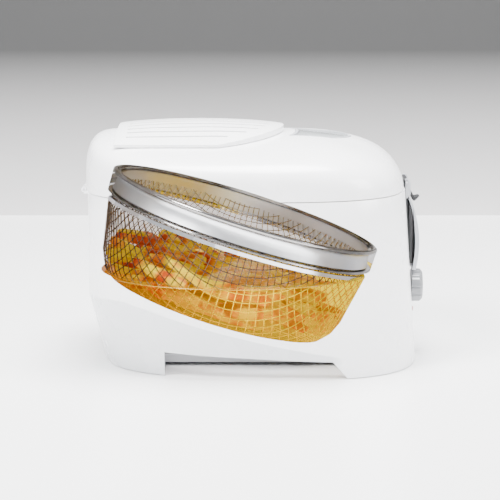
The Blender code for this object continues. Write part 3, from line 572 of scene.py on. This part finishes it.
def cover_outline(inset=0.0, steps=48):
    radius = COVER_RADIUS - inset
    half = COVER_HALF_WIDTH - inset
    end = math.degrees(math.asin(half / radius))
    outline = [(COVER_BACK + inset, -half)]
    outline += arc((COVER_ARC_CENTRE, 0.0), radius, -end, end, steps)
    outline += [(COVER_BACK + inset, half - 2 * half * i / 24) for i in range(24)]
    return outline


def window_outline(inset=0.0, steps=24):
    back_radius = WINDOW_BACK - COVER_ARC_CENTRE + inset
    half = WINDOW_HALF_WIDTH - inset
    back_end = math.degrees(math.asin(half / back_radius))
    outline = arc((COVER_ARC_CENTRE, 0.0), back_radius, back_end, -back_end, steps)
    front_radius = 0.055
    front_end = math.degrees(math.asin(half / front_radius))
    outline += arc((WINDOW_FRONT - front_radius - inset, 0.0), front_radius, -front_end, front_end, steps)
    return outline


def basket_point(u, v, w):
    """A point of the tilted basket's frame in the fryer's frame."""
    return IN_BASKET @ Vector((u, v, w))


def rim_level(u):
    """The level, in the basket's own frame, at which the bowl's rim plane lies."""
    slope = (RIM_PLANE_FRONT[1] - RIM_PLANE_BACK[1]) / (RIM_PLANE_FRONT[0] - RIM_PLANE_BACK[0])
    base = basket_point(u, 0.0, 0.0)
    excess = base.z - RIM_PLANE_BACK[1] - slope * (base.x - RIM_PLANE_BACK[0])
    return -excess / (math.cos(BASKET_TILT) - slope * math.sin(BASKET_TILT))


def hull(points):
    """The convex outline of flat points."""
    ordered = sorted(set(points))

    def half(walk):
        chain = []
        for p in walk:
            while len(chain) > 1:
                (ax, ay), (bx, by) = chain[-2:]
                if (bx - ax) * (p[1] - ay) - (by - ay) * (p[0] - ax) > 0:
                    break
                chain.pop()
            chain.append(p)
        return chain[:-1]

    return half(ordered) + half(reversed(ordered))


def sight_cutter(name, points, near=-0.2, far=-0.012):
    """A cutter through the near side, as wide as the points look from the display's viewpoint."""
    flat = []
    for point in points:
        share = -point.y / (EYE.y - point.y)
        seen = point.lerp(EYE, share)
        flat.append((seen.x, seen.z))
    loops = []
    for y in (near, far):
        share = y / EYE.y
        loops.append([(x + (EYE.x - x) * share, y, z + (EYE.z - z) * share) for x, z in hull(flat)])
    return loft(name, loops, cutter=True)


def basket_circle(radius, w, steps=96):
    return [basket_point(radius * math.cos(math.tau * i / steps),
                         radius * math.sin(math.tau * i / steps), w) for i in range(steps)]


def cutaway():
    """Cutters for the display cutaway: the ring, the basket and the rear edge of the oil."""
    ring = basket_circle(RING_RADIUS, 0.0) + basket_circle(RING_RADIUS + 0.0005, 0.022)
    body = basket_circle(0.1415, -0.009) + basket_circle(0.1345, -0.040)
    body += basket_circle(0.1315, -0.062) + basket_circle(0.126, -0.075)
    body += basket_circle(0.117, -0.085) + basket_circle(0.105, -BASKET_DEPTH)
    pool = []
    for i in range(25):
        angle = math.radians(90 + 7.5 * i)
        pool.append(Vector((-0.022 + 0.140 * math.cos(angle), 0.1302 * math.sin(angle), OIL_LEVEL)))
    return [sight_cutter("cut_ring", ring), sight_cutter("cut_basket", body), sight_cutter("cut_oil", pool)]


def hinge_rod(name, start, end, radius):
    x, z = HINGE_AXIS
    return rod(name, (x, start, z), (x, end, z), radius, cutter=True)


# ---------------------------------------------------------------- casing

def make_casing(cutters):
    """The white outer shell with its creased sides, arches, knuckles and front holes."""
    shares = [0.0, 0.1, 0.2, 0.3, 0.4, 0.5, 0.6, 0.7, 0.8, 0.9, 0.975, 0.99, 1.0]
    shares += [1.01, 1.03, 1.1, 1.25, 1.4, 1.55, 1.7, 1.85, 2.0]
    loops = [creased_loop(share, 0.0) for share in shares]
    loops.append([(x * 0.9965, y * 0.9965, z) for x, y, z in casing_loop(CASING_TOP)])
    loops.append(casing_loop(CASING_TOP, WALL))
    loops += [creased_loop(share, WALL) for share in reversed(shares)]
    casing = loft("casing_shell", loops, casing_material(), closed=True)
    tools = [prism("arch", ARCH, -0.2, 0.2, cutter=True)]
    tools.append(hinge_rod("lid_knuckle_room", -KNUCKLE_INNER - 0.0001, KNUCKLE_INNER + 0.0001,
                           KNUCKLE_RADIUS + 0.0005))
    for name, y, z, radius in (("spindle_hole", 0.0, KNOB_HEIGHT, 0.0040),
                               ("pilot_hole", 0.0, PILOT_HEIGHT, 0.0040),
                               ("button_hole", *BUTTON_PLACE, 0.0064)):
        tools.append(rod(name, (0.145, y, z), (0.18, y, z), radius, cutter=True))
    tools.append(rod("inlet_hole", (-0.18, *INLET_PLACE), (-0.14, *INLET_PLACE), INLET_RADIUS, cutter=True))
    carve(casing, tools + cutters)
    knuckles = []
    for side in (-1, 1):
        low, high = sorted((side * (KNUCKLE_INNER + 0.0003), side * KNUCKLE_OUTER))
        knuckles.append(hinge_rod(f"knuckle_{side + 1}", low, high, KNUCKLE_RADIUS))
        knuckles.append(block(f"web_{side + 1}", (HINGE_AXIS[0], low, 0.1735), (-0.1690, high, CASING_TOP),
                              cutter=True))
    carve(casing, knuckles, "UNION")
    drop(tools + knuckles)
    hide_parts("outer_casing")
    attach(casing, "casing")


def make_bowl(cutters):
    """The bright bowl and the collar that leads down into it."""
    inner = [(BOWL_RADIUS, BOWL_TOP), (BOWL_RADIUS, BOWL_SHOULDER), BOWL_KNEE]
    inner += arc(BOWL_BEND, BOWL_BEND_RADIUS, 0, -90, 14)
    inner.append((BOWL_DRAIN, BOWL_FLOOR))
    outer = [(BOWL_DRAIN, BOWL_FLOOR - BOWL_WALL)]
    outer += arc(BOWL_BEND, BOWL_BEND_RADIUS + BOWL_WALL, -90, 0, 14)
    outer.append((BOWL_KNEE[0] + BOWL_WALL, BOWL_KNEE[1]))
    outer += [(BOWL_RADIUS + BOWL_WALL, BOWL_SHOULDER), (BOWL_RADIUS + BOWL_WALL, BOWL_TOP)]
    bowl = turned("bowl_shell", inner + outer, BOWL_LOOK, IN_BASKET)
    slope = math.atan2(RIM_PLANE_FRONT[1] - RIM_PLANE_BACK[1], RIM_PLANE_FRONT[0] - RIM_PLANE_BACK[0])
    above = block("above_rim", (-0.25, -0.25, 0.0), (0.25, 0.25, 0.1), cutter=True)
    middle = Vector(((RIM_PLANE_BACK[0] + RIM_PLANE_FRONT[0]) / 2, 0.0,
                     (RIM_PLANE_BACK[1] + RIM_PLANE_FRONT[1]) / 2))
    above.data.transform(Matrix.Translation(middle) @ Matrix.Rotation(-slope, 4, "Y"))
    carve(bowl, [above] + cutters)
    drop([above])
    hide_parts("bowl")
    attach(bowl, "casing")

    loops = []
    for radius, down in ((0.1520, 0.0), (0.1531, 0.0010)):
        loop = []
        for i in range(SEGMENTS):
            angle = math.tau * i / SEGMENTS
            u, v = radius * math.cos(angle), radius * math.sin(angle)
            loop.append(basket_point(u, v, rim_level(u) - down))
        loops.append(loop)
    rim_inner, rim_outer = loops
    collar = loft("collar_funnel", [rim_inner, casing_loop(0.1722, WALL + 0.0015),
                                    casing_loop(0.1714, WALL + 0.0004), rim_outer],
                  MATERIALS["light_grey_plastic"], closed=True)
    carve(collar, cutters)
    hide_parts("inner_collar")
    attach(collar, "casing")


# ---------------------------------------------------------------- lid

def make_lid(cutters):
    """The domed white lid with its vent and window openings."""
    rings = [1.0, 0.9995, 0.998, 0.996, 0.993, 0.989, 0.984, 0.978, 0.97, 0.96, 0.945, 0.93, 0.91, 0.885,
             0.86, 0.83, 0.79, 0.74, 0.68, 0.6, 0.5, 0.4, 0.3, 0.2, 0.1]
    loops = [lid_loop(reach, 0.0, 0.0) for reach in reversed(rings)]
    loops += [lid_loop(reach, LID_WALL, 0.047) for reach in rings]
    lid = loft("lid_dome", loops, MATERIALS["white_plastic"])
    tools = []
    for side in (-1, 1):
        low, high = sorted((side * KNUCKLE_INNER, side * (KNUCKLE_OUTER + 0.0003)))
        tools.append(hinge_rod(f"knuckle_room_{side + 1}", low, high, KNUCKLE_RADIUS + 0.0005))
    tools.append(prism("window_hole", window_outline(-0.0006), 0.20, 0.26, axis="Z", cutter=True))
    tools.append(block("vent_hole", (-0.124, -0.064, 0.20), (-0.012, 0.064, 0.26), cutter=True))
    carve(lid, tools + cutters)
    knuckle = hinge_rod("lid_knuckle", -KNUCKLE_INNER + 0.0003, KNUCKLE_INNER - 0.0003, KNUCKLE_RADIUS)
    carve(lid, [knuckle], "UNION")
    drop(tools + [knuckle])
    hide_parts("lid_shell")
    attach(lid, "lid")


def lid_surface(x, y):
    """Height of the lid's outer side over a point of its plan."""
    middle = (LID_BACK + LID_FRONT) / 2
    angle = math.atan2(y, x - middle)
    edge_x, edge_y = plan_point(angle, LID_BACK, LID_FRONT, HALF_WIDTH)
    reach = math.hypot(x - middle, y) / math.hypot(edge_x - middle, edge_y)
    return LID_BOTTOM + lid_height(reach, angle, y)


def lid_patch(name, edges, look, closed=False):
    """A window piece that follows the lid. Each edge is an inset and a height over the lid's surface."""
    loops = []
    for inset, lift in edges:
        loops.append([(x, y, lid_surface(x, y) + lift) for x, y in window_outline(inset)])
    made = loft(name, loops, look, closed=closed)
    soften(made, 0.0003, 2)
    settle(made)
    return made


def make_window():
    """The viewing window: a thin raised frame around a pale smoked pane."""
    rim = lid_patch("window_rim", ((0.0, -0.0040), (0.0, 0.0004), (0.0028, 0.0002), (0.0030, -0.0040)),
                    MATERIALS["light_grey_plastic"], closed=True)
    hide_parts("window_frame")
    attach(rim, "lid")
    pane = lid_patch("window_pane", ((0.0034, -0.0034), (0.0034, -0.0010)), MATERIALS["window_glass"])
    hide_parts("window_glass")
    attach(pane, "lid")


def cover_point(x, y, rise_scale, inset, top):
    """A point of the louvred cover. Its top is crowned, and its base follows the lid."""
    base = LID_BOTTOM + LID_RISE + 0.0007 - LID_SIDE_FALL * (y / HALF_WIDTH) ** 2
    if not top:
        return x, y, base
    across = 1 - (y / COVER_HALF_WIDTH) ** 2
    along = 1 - 0.7 * ((x + 0.058) / 0.09) ** 2
    rise = COVER_EDGE + (COVER_RISE - COVER_EDGE) * along * across - 0.0008 * rise_scale ** 8 - inset
    return x, y, base + rise


def make_filter_cover():
    """The raised cover with its rows of louvre slots."""
    middle = COVER_ARC_CENTRE + 0.012

    def ring(scale, inset, top):
        points = []
        for x, y in cover_outline(inset):
            points.append(cover_point(middle + (x - middle) * scale, y * scale, scale, inset, top))
        return points

    scales = (0.1, 0.25, 0.4, 0.55, 0.7, 0.8, 0.88, 0.94, 0.975, 0.992, 1.0)
    loops = [ring(scale, 0.0, True) for scale in scales]
    loops.append(ring(1.0, 0.0, False))
    loops.append(ring(1.0, COVER_WALL, False))
    loops += [ring(scale, COVER_WALL, True) for scale in reversed(scales)]
    cover = loft("louvre_cover", loops, MATERIALS["white_plastic"])
    slots = []
    for i in range(LOUVRES):
        y = (i - (LOUVRES - 1) / 2) * LOUVRE_PITCH
        reach = COVER_ARC_CENTRE + math.sqrt(max(0.0, (COVER_RADIUS - 0.014) ** 2 - y * y))
        low = (-0.130, y - LOUVRE_SLOT / 2, 0.225)
        high = (reach, y + LOUVRE_SLOT / 2, 0.26)
        slots.append(block(f"slot_{i}", low, high, cutter=True))
    carve(cover, slots)
    drop(slots)
    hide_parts("filter_cover")
    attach(cover, "filter_cover_body")


# ---------------------------------------------------------------- basket

def make_ring():
    """The basket's ring: a rolled bright rim, a satin band and a flange."""
    rim = [(0.1372, 0.0190)] + arc((0.1425, 0.0222), 0.0026, -60, 200, 14)
    rim += [(0.1366, 0.0225), (0.1358, 0.0200)]
    band = [(0.1352, 0.0186), (0.1352, 0.0010), (0.1364, 0.0010), (0.1400, 0.0030), (0.1388, 0.0080),
            (0.1382, 0.0130), (0.1386, 0.0165), (0.1402, 0.0186)]
    flange = [(0.1355, -0.0014), (0.1436, -0.0014)] + arc((0.1436, -0.0002), 0.0012, -90, 90, 8)
    flange += [(0.1412, 0.0014), (0.1366, 0.0007), (0.1355, 0.0007)]
    parts = (("ring_rim", rim, CHROME), ("ring_band", band, BAND), ("ring_flange", flange, CHROME))
    for name, profile, look in parts:
        piece = turned(name, profile, look, IN_BASKET)
        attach(piece, "basket")
        if name == "ring_band":
            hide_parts("basket_ring")


def basket_profile():
    """(radius, level) points from the middle of the basket's floor, up its side and inside the ring."""
    points = [(0.0, -0.0877), (0.1030, -0.0877)]
    points += arc((0.1030, -0.0600), 0.0277, -80, 0, 10)
    points += [(0.1340, -0.0400), (0.1404, -0.0100), (0.1345, -0.0030), (0.1338, 0.0090)]
    return points


def along_profile(points, distance):
    """The point of a profile at a distance along it."""
    for (r0, w0), (r1, w1) in zip(points, points[1:]):
        length = math.hypot(r1 - r0, w1 - w0)
        if distance <= length:
            t = distance / length
            return r0 + (r1 - r0) * t, w0 + (w1 - w0) * t
        distance -= length
    return points[-1]


def make_wires():
    """A sheet of square mesh pressed into a basket. Each wire keeps its distance from the floor's middle."""
    profile = basket_profile()
    sheet = sum(math.hypot(b[0] - a[0], b[1] - a[1]) for a, b in zip(profile, profile[1:]))
    curve = bpy.data.curves.new("woven_basket", "CURVE")
    curve.dimensions = "3D"
    curve.bevel_depth = WIRE
    curve.bevel_resolution = 1
    curve.use_fill_caps = True
    count = int(sheet / WIRE_PITCH)
    for k in range(-count, count + 1):
        across = (k + 0.5) * WIRE_PITCH
        if abs(across) >= sheet:
            continue
        half = math.sqrt(sheet * sheet - across * across)
        steps = max(8, int(half / 0.0025))
        for turn in (0, 1):
            points = []
            for step in range(steps + 1):
                run = -half + 2 * half * step / steps
                s, t = (across, run) if turn else (run, across)
                distance = math.hypot(s, t)
                r, w = along_profile(profile, distance)
                lift = WIRE * 0.9 * (1 if turn else -1)
                r -= lift if distance > 0.12 else 0.0
                w += lift if distance <= 0.12 else 0.0
                points.append(basket_point(r * s / distance, r * t / distance, w))
            line = curve.splines.new("POLY")
            line.points.add(len(points) - 1)
            for spot, point in zip(line.points, points):
                spot.co = (*point, 1.0)
    basket = bpy.data.objects.new("woven_basket", curve)
    bpy.context.scene.collection.objects.link(basket)
    curve.materials.append(WIRES)
    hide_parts("wire_basket")
    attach(basket, "basket")


# ---------------------------------------------------------------- oil and chips

def oil_edge():
    """Points where the oil's surface meets the bowl's wall, found by walking up the wall at each angle."""
    walls = list(reversed(arc(BOWL_BEND, BOWL_BEND_RADIUS, 0, -90, 12)))
    walls += [BOWL_KNEE, (BOWL_RADIUS, BOWL_SHOULDER), (BOWL_RADIUS, 0.03)]
    points = []
    for i in range(SEGMENTS):
        angle = math.tau * i / SEGMENTS
        places = []
        for r, w in walls:
            places.append(basket_point((r - 0.001) * math.cos(angle), (r - 0.001) * math.sin(angle), w))
        for low, high in zip(places, places[1:]):
            if low.z <= OIL_LEVEL <= high.z:
                points.append(low.lerp(high, (OIL_LEVEL - low.z) / (high.z - low.z)))
                break
    return points


def make_oil():
    """Oil that fills the bowl to its level, with a thin gap to the wall."""
    side = BOWL_RADIUS - OIL_GAP
    profile = [(0.0, BOWL_FLOOR + OIL_GAP), (BOWL_DRAIN, BOWL_FLOOR + OIL_GAP)]
    profile += reversed(arc(BOWL_BEND, BOWL_BEND_RADIUS - OIL_GAP, 0, -90, 16))
    profile += [(BOWL_KNEE[0] - OIL_GAP, BOWL_KNEE[1]), (side, BOWL_SHOULDER), (side, 0.03), (0.0, 0.03)]
    oil = turned("frying_oil", profile, oil_material(), IN_BASKET, closed=False)
    above = block("above_oil", (-0.3, -0.3, OIL_LEVEL), (0.3, 0.3, 0.3), cutter=True)
    carve(oil, [above])
    drop([above])
    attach(oil, "casing")

    curve = bpy.data.curves.new("oil_edge", "CURVE")
    curve.dimensions = "3D"
    curve.bevel_depth = OIL_EDGE_RADIUS
    curve.bevel_resolution = 2
    line = curve.splines.new("POLY")
    edge = oil_edge()
    line.points.add(len(edge) - 1)
    line.use_cyclic_u = True
    for spot, point in zip(line.points, edge):
        spot.co = (*point, 1.0)
    made = bpy.data.objects.new("oil_edge", curve)
    bpy.context.scene.collection.objects.link(made)
    curve.materials.append(plastic("oil_edge_gold", (0.55, 0.33, 0.03), 0.15, 0.5, 0.0, 0.5))
    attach(made, "casing")


def make_chips():
    """A heap of bent, square-cut chips in the basket, lying mostly level and side by side."""
    draw = random.Random(7)
    section = [(-1, -0.8), (-0.8, -1), (0.8, -1), (1, -0.8), (1, 0.8), (0.8, 1), (-0.8, 1), (-1, 0.8)]
    work = bmesh.new()
    for _ in range(CHIPS):
        length = draw.uniform(0.050, 0.085)
        side = draw.uniform(0.0036, 0.0048)
        bend = draw.uniform(-0.16, 0.16)
        w = draw.uniform(-0.080, HEAP_TOP)
        limit = 0.120 if w > -0.065 else 0.104
        around = draw.uniform(0, math.tau)
        reach = limit * math.sqrt(draw.random())
        u, v = reach * math.cos(around), reach * math.sin(around)
        turn = Matrix.Rotation(draw.gauss(0.0, 0.8), 4, "Z")
        turn = turn @ Matrix.Rotation(draw.uniform(-0.20, 0.20), 4, "Y")
        turn = turn @ Matrix.Rotation(draw.uniform(0, math.tau), 4, "X")
        rows = []
        for s in range(11):
            t = s / 10 - 0.5
            taper = 1 - 0.45 * abs(2 * t) ** 8
            sag = bend * length * (t * t - 0.25)
            row = []
            for a, b in section:
                spot = turn @ Vector((t * length, a * side * taper, b * side * taper + sag))
                spot += Vector((u, v, w))
                radial = math.hypot(spot.x, spot.y)
                edge = 0.127 - 0.018 * smoothstep(0.066, 0.084, -spot.z)
                if radial > edge:
                    spot.x *= edge / radial
                    spot.y *= edge / radial
                spot.z = min(max(spot.z, -0.084), HEAP_TOP + 0.008)
                row.append(work.verts.new(IN_BASKET @ spot))
            rows.append(row)
        for low, high in zip(rows, rows[1:]):
            for i in range(8):
                j = (i + 1) % 8
                work.faces.new((low[i], low[j], high[j], high[i]))
        work.faces.new(rows[0])
        work.faces.new(rows[-1])
    chips = finish("potato_chips", work, chip_material())
    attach(chips, "basket")


# ---------------------------------------------------------------- front controls

def make_knob():
    """A fluted thermostat knob with a chamfered cap and a white stripe along its side."""
    outline = []
    for i in range(KNOB_FLUTES * 16):
        angle = math.tau * i / (KNOB_FLUTES * 16)
        dip = max(0.0, math.cos(KNOB_FLUTES * angle)) ** 6
        radius = KNOB_RADIUS - 0.0010 * dip
        outline.append((radius * math.cos(angle), radius * math.sin(angle)))
    depth = KNOB_FRONT - KNOB_BACK
    loops = []
    for share, scale in ((0.0, 0.97), (0.04, 1.0), (0.72, 1.0), (0.80, 0.985), (0.97, 0.86), (1.0, 0.83)):
        loops.append([(KNOB_BACK + depth * share, y * scale, KNOB_HEIGHT + z * scale) for y, z in outline])
    knob = loft("fluted_knob", loops, MATERIALS["grey_plastic"])
    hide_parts("thermostat_knob")
    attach(knob, "knob")
    # A white strip along the knob's side, on its upper near quarter.
    low = (-0.0025, KNOB_RADIUS - 0.0022, KNOB_BACK + 0.0008)
    high = (0.0025, KNOB_RADIUS - 0.0001, KNOB_BACK + depth * 0.70)
    stripe = block("knob_white_stripe", low, high, MATERIALS["white_plastic"], 0.0003)
    settle(stripe)
    lean = Matrix.Translation((0, 0, KNOB_HEIGHT)) @ Matrix.Rotation(math.radians(53), 4, "X")
    stripe.data.transform(lean @ Matrix(((0, 0, 1, 0), (1, 0, 0, 0), (0, 1, 0, 0), (0, 0, 0, 1))))
    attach(stripe, "knob")


def handle_thickness(z):
    """The bow's thickness, which thins towards its top."""
    return 0.0040 - 0.0018 * smoothstep(0.125, HANDLE_TOP, z)


def handle_arc(offset, z):
    """How far forward the bow reaches at a height."""
    cx, cz = HANDLE_ARC_CENTRE
    return cx + math.sqrt(HANDLE_ARC_RADIUS ** 2 - (z - cz) ** 2) - offset


def make_handle():
    """The curved bow of the handle, which covers its black grip."""
    steps = 40
    levels = [HANDLE_BOTTOM + (HANDLE_TOP - HANDLE_BOTTOM) * i / steps for i in range(steps + 1)]
    shell = [(handle_arc(0.0, z), z) for z in levels]
    shell += [(handle_arc(handle_thickness(z), z), z) for z in reversed(levels)]
    bow = prism("handle_bow", shell, -HANDLE_HALF_WIDTH, HANDLE_HALF_WIDTH, MATERIALS["light_grey_plastic"],
                bevel=0.0007)
    settle(bow)
    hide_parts("handle_shell")
    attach(bow, "handle")


# ---------------------------------------------------------------- looks of the CAD pieces, and the stage

def dress_frame():
    """Give every shown CAD solid its slot's detailed material."""
    slots = {part["node"]: part["material_slot"] for part in frame["record"]["subparts"]}
    for node, slot in slots.items():
        made = bpy.data.objects.get(node)
        made.data.materials.clear()
        made.data.materials.append(MATERIALS[slot])


def stage():
    """A pale floor, a grey backdrop with painted shade that darkens towards its top, three soft lights and
    the camera.
    """
    floor_look, tree, shader = shader_of("studio_floor", (0.93, 0.93, 0.93), 0.35)
    backdrop_look, tree, shader = shader_of("studio_backdrop", (0.5, 0.5, 0.5), 0.9)
    # Painted shade: the backdrop's colour falls from mid grey at the floor to near black at its top edge.
    place = tree.nodes.new("ShaderNodeTexCoord")
    split = tree.nodes.new("ShaderNodeSeparateXYZ")
    rise = tree.nodes.new("ShaderNodeMapRange")
    rise.inputs["From Min"].default_value = 0.0
    rise.inputs["From Max"].default_value = 0.26
    ramp = tree.nodes.new("ShaderNodeValToRGB")
    ramp.color_ramp.elements[0].color = (0.50, 0.49, 0.49, 1.0)
    ramp.color_ramp.elements[1].color = (0.03, 0.03, 0.03, 1.0)
    tree.links.new(place.outputs["Object"], split.inputs["Vector"])
    tree.links.new(split.outputs["Z"], rise.inputs["Value"])
    tree.links.new(rise.outputs["Result"], ramp.inputs["Fac"])
    tree.links.new(ramp.outputs["Color"], shader.inputs["Base Color"])

    seam = [(-FLOOR_REACH, BACKDROP_Y, 0), (FLOOR_REACH, BACKDROP_Y, 0)]
    near = [(-FLOOR_REACH, -FLOOR_REACH, 0), (FLOOR_REACH, -FLOOR_REACH, 0)]
    top = [(FLOOR_REACH, BACKDROP_Y, BACKDROP_TOP), (-FLOOR_REACH, BACKDROP_Y, BACKDROP_TOP)]
    sheets = (("studio_floor", near + seam[::-1], floor_look), ("studio_backdrop", seam + top, backdrop_look))
    for name, corners, look in sheets:
        mesh = bpy.data.meshes.new(name)
        mesh.from_pydata(corners, [], [(0, 1, 2, 3)])
        made = bpy.data.objects.new(name, mesh)
        mesh.materials.append(look)
        bpy.context.scene.collection.objects.link(made)

    world = bpy.data.worlds.new("studio")
    world.use_nodes = True
    world.node_tree.nodes["Background"].inputs["Color"].default_value = (0.95, 0.97, 1.0, 1.0)
    world.node_tree.nodes["Background"].inputs["Strength"].default_value = 0.8
    bpy.context.scene.world = world
    lights = (("key_light", (-1.1, -1.1, 1.7), 0.8, 120), ("fill_light", (1.7, -0.5, 0.9), 0.8, 45),
              ("top_light", (0.1, 0.1, 1.8), 1.0, 150))
    for name, spot, size, power in lights:
        data = bpy.data.lights.new(name, "AREA")
        data.size = size
        data.energy = power
        light = bpy.data.objects.new(name, data)
        light.location = spot
        light.rotation_euler = (Vector((0, 0, 0.1)) - Vector(spot)).to_track_quat("-Z", "Y").to_euler()
        bpy.context.scene.collection.objects.link(light)

    data = bpy.data.cameras.new("camera")
    data.sensor_width = 36
    data.lens = LENS
    camera = bpy.data.objects.new("camera", data)
    camera.location = EYE
    camera.rotation_euler = (AIM - EYE).to_track_quat("-Z", "Y").to_euler()
    bpy.context.scene.collection.objects.link(camera)
    bpy.context.scene.camera = camera


stage()
dress_frame()
cutters = cutaway()
make_casing(cutters)
make_bowl(cutters)
make_lid(cutters)
drop(cutters)
make_window()
make_filter_cover()
make_ring()
make_wires()
make_oil()
make_chips()
make_knob()
make_handle()
